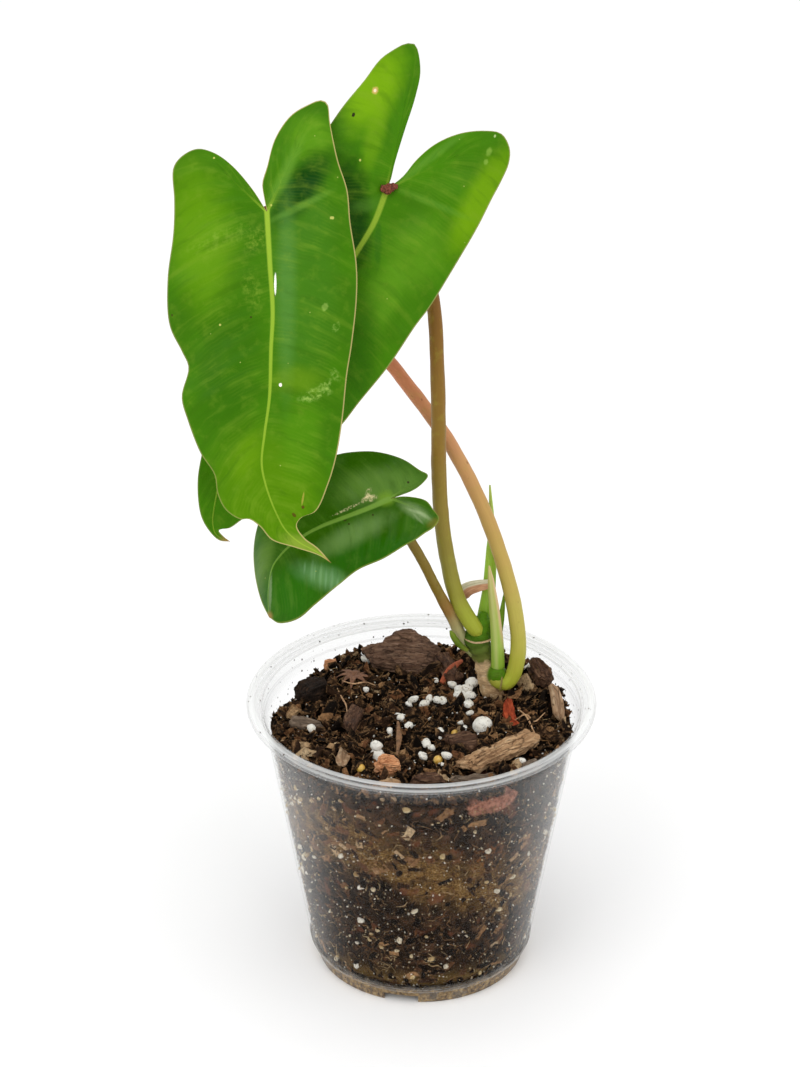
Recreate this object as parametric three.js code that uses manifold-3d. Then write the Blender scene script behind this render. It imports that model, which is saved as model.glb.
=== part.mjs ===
// A potted philodendron burle-marxii in a clear nursery pot.
// Millimetres, +Z up, the side seen first faces -Y. The pot's axis is x = y = 0 until the last lines,
// which bring the middle of the whole plant's bounding box to the origin.
import * as THREE from "three";
import Module from "manifold-3d";
import { mergeVertices } from "three/addons/utils/BufferGeometryUtils.js";

const wasm = await Module();
wasm.setup();

// Pot
const POT_HEIGHT = 102;
const RIM_RADIUS = 60; // outside of the rolled rim
const ROLL_RADIUS = 1.75;
const WALL = 0.8;
const WALL_TOP = { r: 55.3, z: 98.5 }; // outside of the wall under the roll
const WALL_LOW = { r: 39.7, z: 10 }; // outside of the wall where it turns in to the foot
const LEDGE = { z: 95, depth: 0.6 }; // the ring inside that stacked pots rest on
const FOOT = { r: 36.5, width: 1.4, step: 4.4 };
const FLOOR_TOP = 4.2;
const NOTCH = { count: 3, width: 12, height: 2.8, first: 259 }; // degrees round from +X
const DRAIN = { count: 6, r: 3, circle: 21 };
const POT_SEGMENTS = 48;

// Potting mix
const GAP = 0.3; // clear space kept between neighbouring pieces
const SOIL_TOP = 91.5;
const SOIL_RISE = 0.03; // the top climbs towards the back by this much a millimetre
const SOIL_SEGMENTS = 48;
const SOIL_RINGS = 10;
const LUMPS = { count: 80, reach: [3.5, 8.5], height: [-1.6, 2.4] };
const SLUMP = { from: 46, over: 8, depth: 0.8 }; // the mix sinks a little towards the wall
const HOLLOW = { x: -49, y: 23, reach: 12, depth: 8 }; // and has dropped away at the back left

// Blades
const BLADE = 0.85; // thickness
const RIDGE = 2.2; // how far the midrib stands out behind the blade at its base
const ROWS = [0, 0.12, 0.36, 0.68, 1]; // from the midrib to the margin
const LOBE_COLUMNS = 6;
const MARGIN_COLUMNS = 17;
const TIP_CROWDING = 1.35; // over 1 the columns stand closer together towards the drip tip
const RIB_REACH = 0.6; // a lobe's rib runs this share of the way to the lobe's tip

const STALK_SIDES = 8;

const COLOURS = {
  clear: 0xe8ecea,
  soil: 0x2c1c12,
  leaf: 0x4f9a1c,
  leafLow: 0x1f6a1c,
  stem: 0xa5925a,
  stalk: 0x8c7c4a,
  stalkFront: 0xb39a62,
  sheath: 0x8fbf4a,
  dry: 0x9b6a4e,
  bark: 0x5b3b28,
  barkPale: 0xa98a66,
  barkOrange: 0xb5733c,
  barkRed: 0x7d3420,
  barkGrey: 0x81766c,
  husk: 0xb7a78e,
  perlite: 0xeeeeea,
  prill: 0xd9c27a,
};

const vec = (x, y, z) => new THREE.Vector3(x, y, z);
const radians = THREE.MathUtils.degToRad;
const clamp = THREE.MathUtils.clamp;
const lerp = THREE.MathUtils.lerp;

// Seeded draws between 0 and 1.
function draws(seed) {
  let state = seed >>> 0;
  return () => {
    state = (Math.imul(state, 1664525) + 1013904223) >>> 0;
    return state / 4294967296;
  };
}

// Collects triangles by their corners. Corners that coincide become one, collapsed faces are dropped.
class Skin {
  constructor() {
    this.found = new Map();
    this.positions = [];
    this.faces = [];
  }
  corner(p) {
    const key = [p.x, p.y, p.z].map((c) => Math.round(c * 1e4)).join();
    if (!this.found.has(key)) {
      this.found.set(key, this.positions.length / 3);
      this.positions.push(p.x, p.y, p.z);
    }
    return this.found.get(key);
  }
  triangle(p, q, r) {
    const [i, j, k] = [p, q, r].map((c) => this.corner(c));
    if (i !== j && j !== k && k !== i) this.faces.push(i, j, k);
  }
  quad(p, q, r, s) {
    this.triangle(p, q, r);
    this.triangle(p, r, s);
  }
  // Rings of equal length from bottom to top, each counterclockwise from above, with both ends closed.
  loft(rings) {
    const n = rings[0].length;
    for (let i = 0; i + 1 < rings.length; i++)
      for (let j = 0; j < n; j++) {
        const k = (j + 1) % n;
        this.quad(rings[i][j], rings[i][k], rings[i + 1][k], rings[i + 1][j]);
      }
    this.cap(rings[0], true);
    this.cap(rings[rings.length - 1], false);
    return this;
  }
  cap(ring, flipped) {
    const middle = ring.reduce((sum, p) => sum.clone().add(p), vec(0, 0, 0));
    middle.divideScalar(ring.length);
    ring.forEach((p, i) => {
      const q = ring[(i + 1) % ring.length];
      if (flipped) this.triangle(middle, q, p);
      else this.triangle(middle, p, q);
    });
  }
  solid() {
    const made = new wasm.Manifold(
      new wasm.Mesh({
        numProp: 3,
        vertProperties: new Float32Array(this.positions),
        triVerts: new Uint32Array(this.faces),
      }),
    );
    if (made.volume() > 0) return made;
    for (let i = 0; i < this.faces.length; i += 3)
      [this.faces[i], this.faces[i + 1]] = [this.faces[i + 1], this.faces[i]];
    return this.solid();
  }
}

// A three.js geometry as a solid.
function solidOf(geometry) {
  const bare = new THREE.BufferGeometry();
  bare.setAttribute("position", geometry.getAttribute("position"));
  bare.setIndex(geometry.index);
  const merged = mergeVertices(bare, 1e-3);
  const at = merged.getAttribute("position");
  const point = (i) => vec().fromBufferAttribute(at, i);
  const skin = new Skin();
  const index = merged.index.array;
  for (let i = 0; i < index.length; i += 3)
    skin.triangle(point(index[i]), point(index[i + 1]), point(index[i + 2]));
  return skin.solid();
}

const union = (solids) => wasm.Manifold.union(solids);

// The largest body of a solid: what a cut leaves loose is dropped.
function mainBody(solid) {
  return solid.decompose().reduce((a, b) => (a.volume() > b.volume() ? a : b));
}

const model = new THREE.Group();
model.name = "potted_philodendron";

function add(name, solid, colour, roughness = 0.7) {
  const mesh = solid.getMesh();
  const geometry = new THREE.BufferGeometry();
  geometry.setAttribute("position", new THREE.BufferAttribute(mesh.vertProperties, 3));
  geometry.setIndex(new THREE.BufferAttribute(mesh.triVerts, 1));
  geometry.computeVertexNormals();
  const node = new THREE.Mesh(geometry, new THREE.MeshStandardMaterial({ color: colour, roughness }));
  node.name = name;
  model.add(node);
  return node;
}

// Pot

// Outside radius at a height of a wall that ran straight up to the roll.
function wallRadius(z) {
  return lerp(WALL_LOW.r, WALL_TOP.r, (z - WALL_LOW.z) / (WALL_TOP.z - WALL_LOW.z));
}

const LEDGE_FOOT = { r: wallRadius(LEDGE.z - 1) - WALL - LEDGE.depth, z: LEDGE.z - 1 }; // inside

// Inside radius of the wall between the foot and the ledge.
function innerRadius(z) {
  return lerp(WALL_LOW.r - WALL, LEDGE_FOOT.r, (z - WALL_LOW.z) / (LEDGE_FOOT.z - WALL_LOW.z));
}

function potSolid() {
  const profile = [
    [0, FLOOR_TOP - WALL],
    [FOOT.r - FOOT.width - 0.3, FLOOR_TOP - WALL],
    [FOOT.r - FOOT.width, 0],
    [FOOT.r, 0],
    [FOOT.r + 0.4, FOOT.step],
    [WALL_LOW.r - 1.2, FOOT.step + 1],
    [WALL_LOW.r - 0.3, FOOT.step + 3],
    [WALL_LOW.r, WALL_LOW.z],
    [LEDGE_FOOT.r + WALL, LEDGE_FOOT.z],
    [wallRadius(LEDGE.z), LEDGE.z],
    [WALL_TOP.r, WALL_TOP.z],
  ];
  const rollMiddle = { r: RIM_RADIUS - ROLL_RADIUS, z: POT_HEIGHT - ROLL_RADIUS };
  for (let angle = -120; angle <= 150; angle += 45)
    profile.push([
      rollMiddle.r + ROLL_RADIUS * Math.cos(radians(angle)),
      rollMiddle.z + ROLL_RADIUS * Math.sin(radians(angle)),
    ]);
  profile.push(
    [WALL_TOP.r, WALL_TOP.z + 1.6],
    [WALL_TOP.r - WALL, WALL_TOP.z],
    [wallRadius(LEDGE.z) - WALL, LEDGE.z],
    [LEDGE_FOOT.r, LEDGE_FOOT.z],
    [WALL_LOW.r - WALL, WALL_LOW.z],
    [WALL_LOW.r - WALL - 0.4, FOOT.step + 3],
    [FOOT.r - 0.6, FLOOR_TOP],
    [0, FLOOR_TOP],
  );
  const points = profile.map(([r, z]) => new THREE.Vector2(r, z));
  const lathe = new THREE.LatheGeometry(points, POT_SEGMENTS).rotateX(Math.PI / 2);
  const cuts = [];
  for (let i = 0; i < NOTCH.count; i++)
    cuts.push(
      wasm.Manifold.cube([8, NOTCH.width, 2 * NOTCH.height], true)
        .translate([FOOT.r, 0, 0])
        .rotate([0, 0, NOTCH.first + (360 / NOTCH.count) * i]),
    );
  const hole = wasm.Manifold.cylinder(3, DRAIN.r, DRAIN.r, 12).translate([0, 0, FLOOR_TOP - 2]);
  cuts.push(hole);
  for (let i = 0; i < DRAIN.count; i++)
    cuts.push(hole.translate([DRAIN.circle, 0, 0]).rotate([0, 0, (360 / DRAIN.count) * i]));
  return solidOf(lathe).subtract(union(cuts));
}

// Potting mix

// Lumps of the mix: where each is, how wide and how high or deep.
function soilLumps() {
  const next = draws(11);
  return Array.from({ length: LUMPS.count }, () => {
    const r = LEDGE_FOOT.r * Math.sqrt(next());
    const turn = 2 * Math.PI * next();
    return {
      x: r * Math.cos(turn),
      y: r * Math.sin(turn),
      reach: lerp(...LUMPS.reach, next()),
      height: lerp(...LUMPS.height, next()),
    };
  });
}
const lumps = soilLumps();

function soilHeight(x, y) {
  const r = Math.hypot(x, y);
  let z = SOIL_TOP + SOIL_RISE * y;
  for (const lump of lumps) {
    const away = ((x - lump.x) ** 2 + (y - lump.y) ** 2) / lump.reach ** 2;
    z += lump.height * Math.exp(-away);
  }
  z -= HOLLOW.depth * Math.exp(-((x - HOLLOW.x) ** 2 + (y - HOLLOW.y) ** 2) / HOLLOW.reach ** 2);
  return z - SLUMP.depth * clamp((r - SLUMP.from) / SLUMP.over, 0, 1);
}

function soilSolid() {
  const inside = (z) => innerRadius(z) - GAP;
  const ring = (r, height) =>
    Array.from({ length: SOIL_SEGMENTS }, (_, j) => {
      const turn = (2 * Math.PI * j) / SOIL_SEGMENTS;
      const z = height(r * Math.cos(turn), r * Math.sin(turn));
      const held = Math.min(r, inside(z));
      return vec(held * Math.cos(turn), held * Math.sin(turn), z);
    });
  const floor = FLOOR_TOP + GAP;
  const rings = [
    ring(FOOT.r - 2.2, () => floor),
    ring(WALL_LOW.r - WALL - 1.4, () => FOOT.step + 3.2),
    ring(inside(WALL_LOW.z), () => WALL_LOW.z),
    ring(inside(50), () => 50),
    ring(inside(78), () => 78),
  ];
  for (let i = 0; i < SOIL_RINGS; i++) {
    const r = inside(88) * (1 - i / SOIL_RINGS) ** 0.85;
    rings.push(ring(r, (x, y) => Math.min(soilHeight(x, y), i ? POT_HEIGHT : LEDGE_FOOT.z)));
  }
  return new Skin().loft(rings).solid();
}

// Rounded lumps, chips of bark and other loose pieces

// A rough ball: its corners are drawn in or out by up to a share of the radius.
function ballSolid(middle, radii, seed, roughness = 0.12) {
  const next = draws(seed);
  const ball = mergeVertices(bareBall(), 1e-3);
  const at = ball.getAttribute("position");
  for (let i = 0; i < at.count; i++) {
    const p = vec().fromBufferAttribute(at, i);
    p.multiplyScalar(1 + roughness * (2 * next() - 1));
    at.setXYZ(i, p.x * radii[0] + middle[0], p.y * radii[1] + middle[1], p.z * radii[2] + middle[2]);
  }
  return solidOf(ball);
}

function bareBall() {
  const ball = new THREE.IcosahedronGeometry(1, 1);
  ball.deleteAttribute("normal");
  ball.deleteAttribute("uv");
  return ball;
}

// A broken chip lying along x with chamfered edges. Its outline is drawn by chance, or given in
// shares of the half length and half width.
function chipSolid({ size, outline, seed, rough = 0.3, place, grow = 0 }) {
  const next = draws(seed);
  const [length, width, thick] = size;
  const drawn = Array.from({ length: 8 }, (_, i) => {
    const turn = (Math.PI * (i + 0.5 * (next() - 0.5))) / 4;
    const square = 1 / Math.max(Math.abs(Math.cos(turn)), Math.abs(Math.sin(turn))) ** 0.7;
    const reach = square * (1 - rough * next());
    return [reach * Math.cos(turn), reach * Math.sin(turn)];
  });
  const edge = (outline ?? drawn).map(([x, y]) => [0.5 * length * x, 0.5 * width * y]);
  const levels = [
    [0.86, -0.5],
    [1, -0.28],
    [0.98, 0.22],
    [0.8, 0.5],
  ];
  const rings = levels.map(([share, level]) =>
    edge.map(([x, y]) => {
      const lift = level * thick * (1 + rough * (next() - 0.5));
      return vec(share * x, share * y, lift);
    }),
  );
  const scale = size.map((s) => 1 + (2.6 * grow) / s);
  const at = new THREE.Matrix4().compose(
    vec(...place.at),
    new THREE.Quaternion().setFromEuler(
      new THREE.Euler(radians(place.tilt[0]), radians(place.tilt[1]), radians(place.heading), "ZYX"),
    ),
    vec(...scale),
  );
  rings.flat().forEach((p) => p.applyMatrix4(at));
  return new Skin().loft(rings).solid();
}

// Stalks, stem and sheaths

// A closed loft along a smooth path, with its rings spread evenly over the path's points, so that a
// bend gets more of them. section(u) gives [half width, half thickness, hollow] of the piece:
// hollow bends its cross-section like a gutter. "face" is the direction its broad side looks.
function strapSolid(path, section, { rings, sides = STALK_SIDES, face = [0, -1, 0] }) {
  const curve = new THREE.CatmullRomCurve3(path.map((p) => vec(...p)));
  const loops = [];
  for (let i = 0; i <= rings; i++) {
    const u = i / rings;
    const middle = curve.getPoint(u);
    const along = curve.getTangent(u);
    const front = vec(...face).projectOnPlane(along).normalize();
    const side = vec().crossVectors(along, front).normalize();
    const [half, thick, hollow = 0] = section(u);
    const loop = [];
    for (let j = 0; j < sides; j++) {
      const turn = (2 * Math.PI * j) / sides;
      const [c, s] = [Math.cos(turn), Math.sin(turn)];
      loop.push(
        middle
          .clone()
          .addScaledVector(front, thick * c - hollow * s * s)
          .addScaledVector(side, half * s),
      );
    }
    loops.push(loop);
  }
  return new Skin().loft(loops).solid();
}

// Runs through [position, values...] stops.
function through(stops) {
  return (u) => {
    const k = stops.findIndex(([at]) => at >= u);
    if (k < 1) return stops[k < 0 ? stops.length - 1 : 0].slice(1);
    const [[a, ...from], [b, ...to]] = [stops[k - 1], stops[k]];
    return from.map((value, i) => lerp(value, to[i], (u - a) / (b - a)));
  };
}

function roundStalk(path, radii, grow = 0, rings = 24) {
  const radius = through(radii);
  return strapSolid(path, (u) => [radius(u)[0] + grow, radius(u)[0] + grow], { rings });
}

// Blades

// Each blade is drawn flat: [across, along] from the point where its stalk meets it, along the midrib
// towards the tip. right and left are as seen from in front. inner is a lobe's edge from the notch to
// the lobe's tip, outer its edge down to the shoulder, margin the rest of the edge down to the tip.
// The flat shape is then bent: fold lifts the halves from the midrib, curl turns their margins down
// again, bow arches the midrib, lobeBack bends the lobes back, tip and corner bend the far end back,
// waves run along each margin and dents cup the blade.
const FRONT = {
  at: [-49.5, 4, 276.5],
  elevation: 27,
  yaw: 0,
  turn: 0,
  length: 110,
  fold: [0.3, 0.1],
  curl: 0.011,
  bow: 5,
  lobeBack: 0.005,
  waves: { left: [2.2, 36, -2.4], right: [1.2, 40, 0.6] },
  dents: [{ at: [9, -8], depth: 2.5, reach: 7 }],
  mid: [
    [0, 0], [1, 16], [2, 32], [1.5, 43.5], [1, 59], [-0.5, 70], [-1.5, 80],
    [0, 87.5], [3, 95.5], [6, 101], [10.5, 105], [16, 108], [20.5, 111.5],
  ],
  right: {
    inner: [[0, 0], [-1, -5], [-1.5, -9], [0, -14.5], [2.5, -23.5], [7.5, -31], [13, -34.5], [17, -36]],
    outer: [[19, -35], [20, -28.5], [22.5, -16.5], [25.5, -7], [26.5, 3.5]],
    margin: [
      [28.5, 17], [28.5, 28], [27, 42.5], [25.5, 52], [24, 66], [22, 78], [19.5, 86.5],
      [15.5, 95], [11, 97], [9.5, 99.5], [12, 103.5], [16, 106.5], [20.5, 111.5],
    ],
  },
  left: {
    inner: [[0, 0], [-4.5, -7], [-11, -14.5], [-16.5, -18.5], [-22, -20]],
    outer: [[-26.5, -18], [-29.5, -14], [-29.5, -4], [-30, 7]],
    margin: [
      [-31.3, 22], [-31, 36], [-26.9, 44.5], [-24.7, 49.5], [-26.7, 59], [-25, 66], [-21, 76.5],
      [-16.5, 83.5], [-15.5, 89.5], [-13, 94.5], [-8.5, 97.5], [-5.5, 97.5], [-2, 100],
      [1.5, 104], [9, 106.5], [16.5, 109], [20.5, 111.5],
    ],
  },
};

const BACK = {
  at: [-11.5, 18, 279],
  elevation: 22,
  yaw: 8,
  turn: 27,
  length: 123,
  fold: [0.34, 0.12],
  curl: 0.012,
  bow: 4,
  lobeBack: 0.006,
  waves: { left: [1.2, 44, 0.5], right: [1.2, 44, 1.2] },
  dents: [{ at: [8, 6], depth: 2, reach: 7 }],
  mid: [
    [0, 0], [0.5, 11], [-1, 23], [-2.5, 36.5], [-4.5, 52], [-7, 68], [-9.5, 83],
    [-11.5, 95.5], [-12, 104], [-10.5, 113], [-8, 121], [-5.5, 123.8], [-0.5, 124],
  ],
  right: {
    inner: [[0, 0], [3, -5.5], [5, -12.5], [8.5, -19.5], [14.5, -26], [22, -30.5], [27.5, -32]],
    outer: [[32, -29], [33.8, -24.5], [33.7, -18], [32.9, -11.5], [31.9, -1]],
    margin: [
      [30.8, 8], [28.4, 28], [26, 37], [23, 53], [19.5, 66.5], [17.5, 74.5], [13.5, 84.5], [9.5, 95],
      [6, 105.5], [3, 112], [0, 116], [-2.5, 120], [-5.5, 122], [-3.5, 123.2], [-0.5, 124],
    ],
  },
  left: {
    inner: [[0, 0], [0, -3], [-1, -8.5], [-2.2, -20], [-3, -31], [-4.8, -40.3], [-9.6, -47.2]],
    outer: [
      [-12.6, -45.7], [-15.3, -42.3], [-18.2, -37.4], [-20.4, -28.8], [-23.2, -19.2], [-25, -10.5],
      [-26.5, -2.5], [-27, 6],
    ],
    margin: [
      [-27, 16], [-25.5, 24], [-25, 37], [-25.5, 52], [-25.5, 67.5], [-23.5, 84], [-20.5, 101.5],
      [-18, 110.5], [-13, 119.5], [-9, 123], [-4, 125], [-0.5, 124],
    ],
  },
};

const LOW = {
  at: [-10.3, 5, 174.5],
  elevation: 45,
  yaw: -3,
  turn: 66,
  length: 50,
  fold: [0.3, -0.15],
  curl: 0.012,
  bow: 1,
  lobeBack: 0.004,
  tip: { from: 36, bend: 0.05 },
  corner: { from: 30, bend: 0.03 },
  waves: { left: [0.8, 30, 0], right: [0.8, 26, 1] },
  dents: [],
  mid: [[0, 0], [0.5, 8], [0.5, 16.5], [0.5, 25.5], [1.5, 33], [4, 41], [6, 45], [11, 49], [17, 51.8]],
  right: {
    inner: [[0, 0], [0.5, -3], [2.5, -7], [5.5, -10.5], [9.5, -11.5], [13, -12]],
    outer: [[15, -9.5], [16, -5.5], [17, -2], [17.5, 2]],
    margin: [[18.5, 9.5], [18.5, 19], [20.5, 27], [22.2, 36], [22.8, 42.8], [20.3, 49.4], [17, 51.8]],
  },
  left: {
    inner: [[0, 0], [0, -3], [0, -7.5], [-1, -11.5], [-3, -14.5]],
    outer: [[-5.5, -12.5], [-10, -9.5], [-13.5, -6], [-17, -1]],
    margin: [
      [-20, 6], [-21.5, 11], [-22.5, 18.5], [-21, 27.5], [-16.5, 36.5], [-12, 43], [-8, 46.5],
      [-3.5, 49], [4, 51.3], [11.5, 52.2], [17, 51.8],
    ],
  },
};

// The blade's own directions: across, down its length, and out of its upper face.
function bladeFrame(leaf) {
  const [el, yaw, turn] = [leaf.elevation, leaf.yaw, leaf.turn].map(radians);
  const face = vec(Math.sin(yaw) * Math.cos(el), -Math.cos(yaw) * Math.cos(el), Math.sin(el));
  const level = vec(Math.cos(yaw), Math.sin(yaw), 0);
  const drop = vec().crossVectors(level, face);
  const down = drop.clone().multiplyScalar(Math.cos(turn)).addScaledVector(level, -Math.sin(turn));
  const across = level.clone().multiplyScalar(Math.cos(turn)).addScaledVector(drop, Math.sin(turn));
  return { face, across, down };
}

const flatCurve = (points) => new THREE.CatmullRomCurve3(points.map(([a, l]) => vec(a, l, 0)));

// n + 1 points along a curve between two of its control points, evenly spaced by length, or with
// crowding over 1 closer together towards the end.
function between(curve, first, last, n, crowding = 1) {
  const count = curve.points.length - 1;
  const steps = 120;
  const fine = [];
  for (let i = 0; i <= steps; i++) fine.push(curve.getPoint(lerp(first, last, i / steps) / count));
  const lengths = [0];
  for (let i = 1; i <= steps; i++) lengths.push(lengths[i - 1] + fine[i].distanceTo(fine[i - 1]));
  return Array.from({ length: n + 1 }, (_, i) => {
    const wanted = lengths[steps] * (1 - (1 - i / n) ** crowding);
    const k = clamp(lengths.findIndex((l) => l >= wanted), 1, steps);
    const share = (wanted - lengths[k - 1]) / (lengths[k] - lengths[k - 1]);
    return fine[k - 1].clone().lerp(fine[k], clamp(share, 0, 1));
  });
}

// Where the midrib is across the blade at a distance along it.
function midribAt(leaf, along) {
  leaf.ribLine ??= between(flatCurve(leaf.mid), 0, leaf.mid.length - 1, 60);
  const k = leaf.ribLine.findIndex((p) => p.y >= along);
  if (k < 1) return k ? leaf.ribLine[60].x : 0;
  const [p, q] = [leaf.ribLine[k - 1], leaf.ribLine[k]];
  return lerp(p.x, q.x, (along - p.y) / (q.y - p.y));
}

// How far the bent blade stands off its flat plane.
function relief(leaf, across, along) {
  const rib = midribAt(leaf, along);
  const off = Math.abs(across - rib);
  const u = clamp(along / leaf.length, 0, 1);
  let height = lerp(leaf.fold[0], leaf.fold[1], u) * off - leaf.curl * off ** 2;
  height += leaf.bow * 4 * u * (1 - u);
  if (along < 0) height -= leaf.lobeBack * along ** 2;
  if (leaf.tip) height -= leaf.tip.bend * Math.max(0, along - leaf.tip.from) ** 2;
  if (leaf.corner)
    height -= leaf.corner.bend * Math.max(0, 0.8 * across + 0.6 * along - leaf.corner.from) ** 2;
  const [size, spacing, phase] = across < rib ? leaf.waves.left : leaf.waves.right;
  height += size * Math.sin((2 * Math.PI * along) / spacing + phase) * (Math.min(off, 30) / 25) ** 2;
  for (const { at, depth, reach } of leaf.dents) {
    const away = ((across - at[0]) ** 2 + (along - at[1]) ** 2) / reach ** 2;
    height -= depth * Math.exp(-away);
  }
  return height;
}

// The columns of one half: pairs of flat points, one on a rib and one on the edge.
function halfColumns(leaf, side) {
  const { inner, outer, margin } = leaf[side];
  const edge = flatCurve([...inner, ...outer, ...margin]);
  const lobeTip = inner.length - 1;
  const shoulder = lobeTip + outer.length;
  const tip = shoulder + margin.length;
  const ribEnd = vec(...inner[lobeTip], 0).multiplyScalar(RIB_REACH);
  const rib = Array.from({ length: LOBE_COLUMNS + 1 }, (_, i) =>
    vec(0, 0, 0).lerp(ribEnd, i / LOBE_COLUMNS),
  );
  const margins = [MARGIN_COLUMNS, TIP_CROWDING];
  const midrib = between(flatCurve(leaf.mid), 0, leaf.mid.length - 1, ...margins);
  const spine = [...rib, ...rib.slice(0, -1).reverse(), ...midrib.slice(1)];
  const rim = [
    ...between(edge, 0, lobeTip, LOBE_COLUMNS),
    ...between(edge, lobeTip, shoulder, LOBE_COLUMNS).slice(1),
    ...between(edge, shoulder, tip, ...margins).slice(1),
  ];
  return spine.map((p, i) => [p, rim[i]]);
}

// grow thickens the blade on both faces, for cutting its neighbours.
function bladeSolid(leaf, grow = 0) {
  const { face, across, down } = bladeFrame(leaf);
  const skin = new Skin();
  const place = (flat, behind) =>
    vec(...leaf.at)
      .addScaledVector(across, flat.x)
      .addScaledVector(down, flat.y)
      .addScaledVector(face, relief(leaf, flat.x, flat.y) + behind);
  const ridge = (flat) => {
    const u = flat.y >= 0 ? flat.y / leaf.length : -flat.y / 22;
    return (RIDGE * leaf.length * clamp(1 - u, 0.08, 1)) / 120;
  };
  for (const side of ["right", "left"]) {
    const grid = halfColumns(leaf, side).map(([spine, rim]) =>
      ROWS.map((t) => {
        const flat = spine.clone().lerp(rim, t);
        const behind = BLADE + (t ? 0 : ridge(flat)) + grow;
        return { front: place(flat, grow), back: place(flat, -behind) };
      }),
    );
    const wound = (a, b, c, d) => (side === "right" ? skin.quad(a, b, c, d) : skin.quad(d, c, b, a));
    for (let i = 0; i + 1 < grid.length; i++)
      for (let j = 0; j + 1 < ROWS.length; j++) {
        const [p, q, r, s] = [grid[i][j], grid[i + 1][j], grid[i + 1][j + 1], grid[i][j + 1]];
        wound(p.front, q.front, r.front, s.front);
        wound(q.back, p.back, s.back, r.back);
        if (j + 2 === ROWS.length) wound(s.front, r.front, r.back, s.back);
      }
  }
  return skin.solid();
}

// The plant's stalks and stem, each along its own path

const STEM = {
  path: [
    [25.8, 15.5, 80], [25.4, 15.8, 91], [24, 16.2, 96.5], [22.3, 16.6, 101.5], [21.4, 16.8, 106.3],
    [20.4, 17, 111], [19.4, 17.2, 114.6], [20.4, 17.5, 117.5], [21, 17.8, 120.5], [21.6, 18.2, 124],
  ],
  radii: [
    [0, 3.9], [0.22, 3.9], [0.33, 3.1], [0.44, 3], [0.56, 3.9], [0.67, 4.8], [0.71, 4.5], [0.78, 4],
    [0.89, 3.4], [1, 1.4],
  ],
  node: { at: [26.4, 14.6, 101.8], radii: [3.4, 3.1, 3.8] },
};
const STALKS = {
  petiole_back: {
    leaf: BACK,
    colour: COLOURS.stalk,
    path: [
      [20, 15.2, 117.8], [18, 14.8, 120.6], [14.9, 16.4, 125.2], [12.3, 18.2, 130],
      [9, 20.2, 143.5], [6.9, 21, 158.5], [5.8, 21, 177], [5.6, 21, 196], [5.1, 22, 214],
      [4.1, 25, 232], [1.3, 27.5, 248], [-4.5, 26.5, 263], [-9.8, 21, 275.5], [-11.5, 18, 279],
    ],
    radii: [[0, 1.8], [0.04, 2.6], [0.1, 2.9], [0.25, 2.75], [0.5, 2.55], [0.65, 2.35], [1, 2.25]],
  },
  petiole_front: {
    leaf: FRONT,
    colour: COLOURS.stalkFront,
    path: [
      [25, 14.6, 101], [27.2, 13.8, 99.4], [29.4, 13.5, 99.3], [31.6, 13.5, 101.8],
      [33.1, 13.8, 107.6], [33.5, 15, 115], [31.5, 18, 129], [25.9, 23, 148], [19.1, 27.5, 164.5],
      [10.8, 30.5, 180.5], [2.1, 32, 194], [-5.6, 33, 204.5], [-10.7, 33, 211.5], [-20.7, 33, 222],
      [-32.2, 31, 235], [-41, 26.5, 249], [-46.5, 20, 261], [-49, 11, 271], [-49.5, 4, 276.5],
    ],
    radii: [[0, 2.6], [0.1, 2.8], [0.3, 2.7], [0.55, 2.4], [1, 2.2]],
  },
  petiole_low: {
    leaf: LOW,
    colour: COLOURS.stalk,
    path: [
      [18.5, 18, 108.5], [14.4, 17.6, 113.8], [11.6, 17.2, 121.1], [7.2, 15.2, 130.8],
      [4.2, 13, 138.4], [-0.8, 11, 150.2], [-3.3, 10.5, 155.1], [-6.6, 10.5, 162],
      [-9.3, 9, 169.5], [-10.3, 5, 174.5],
    ],
    radii: [[0, 2.1], [0.2, 2.2], [0.35, 1.85], [0.5, 1.75], [1, 1.6]],
  },
};

function stemSolid(grow = 0) {
  const { at, radii } = STEM.node;
  const node = ballSolid(at, radii.map((r) => r + grow), 5, 0.05);
  return union([roundStalk(STEM.path, STEM.radii, grow, 20), node]);
}

// Assembly

const shells = { stem: stemSolid(GAP) };
for (const [name, stalk] of Object.entries(STALKS))
  shells[name] = roundStalk(stalk.path, stalk.radii, GAP);

add("pot", potSolid(), COLOURS.clear, 0.2);
add("stem", stemSolid(), COLOURS.stem);
let cut = shells.stem;
for (const [name, stalk] of Object.entries(STALKS)) {
  const joins = union([cut, bladeSolid(stalk.leaf, GAP)]);
  add(name, mainBody(roundStalk(stalk.path, stalk.radii).subtract(joins)), stalk.colour, 0.5);
  cut = union([cut, shells[name]]);
}
add("leaf_front", bladeSolid(FRONT), COLOURS.leaf, 0.4);
add("leaf_back", bladeSolid(BACK), COLOURS.leaf, 0.4);
add("leaf_low", bladeSolid(LOW), COLOURS.leafLow, 0.3);

// What grows at the stem is cut clear of the stem and of the stalks.
const plant = union(Object.values(shells));
const besidePlant = (solid) => mainBody(solid.subtract(plant));

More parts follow.
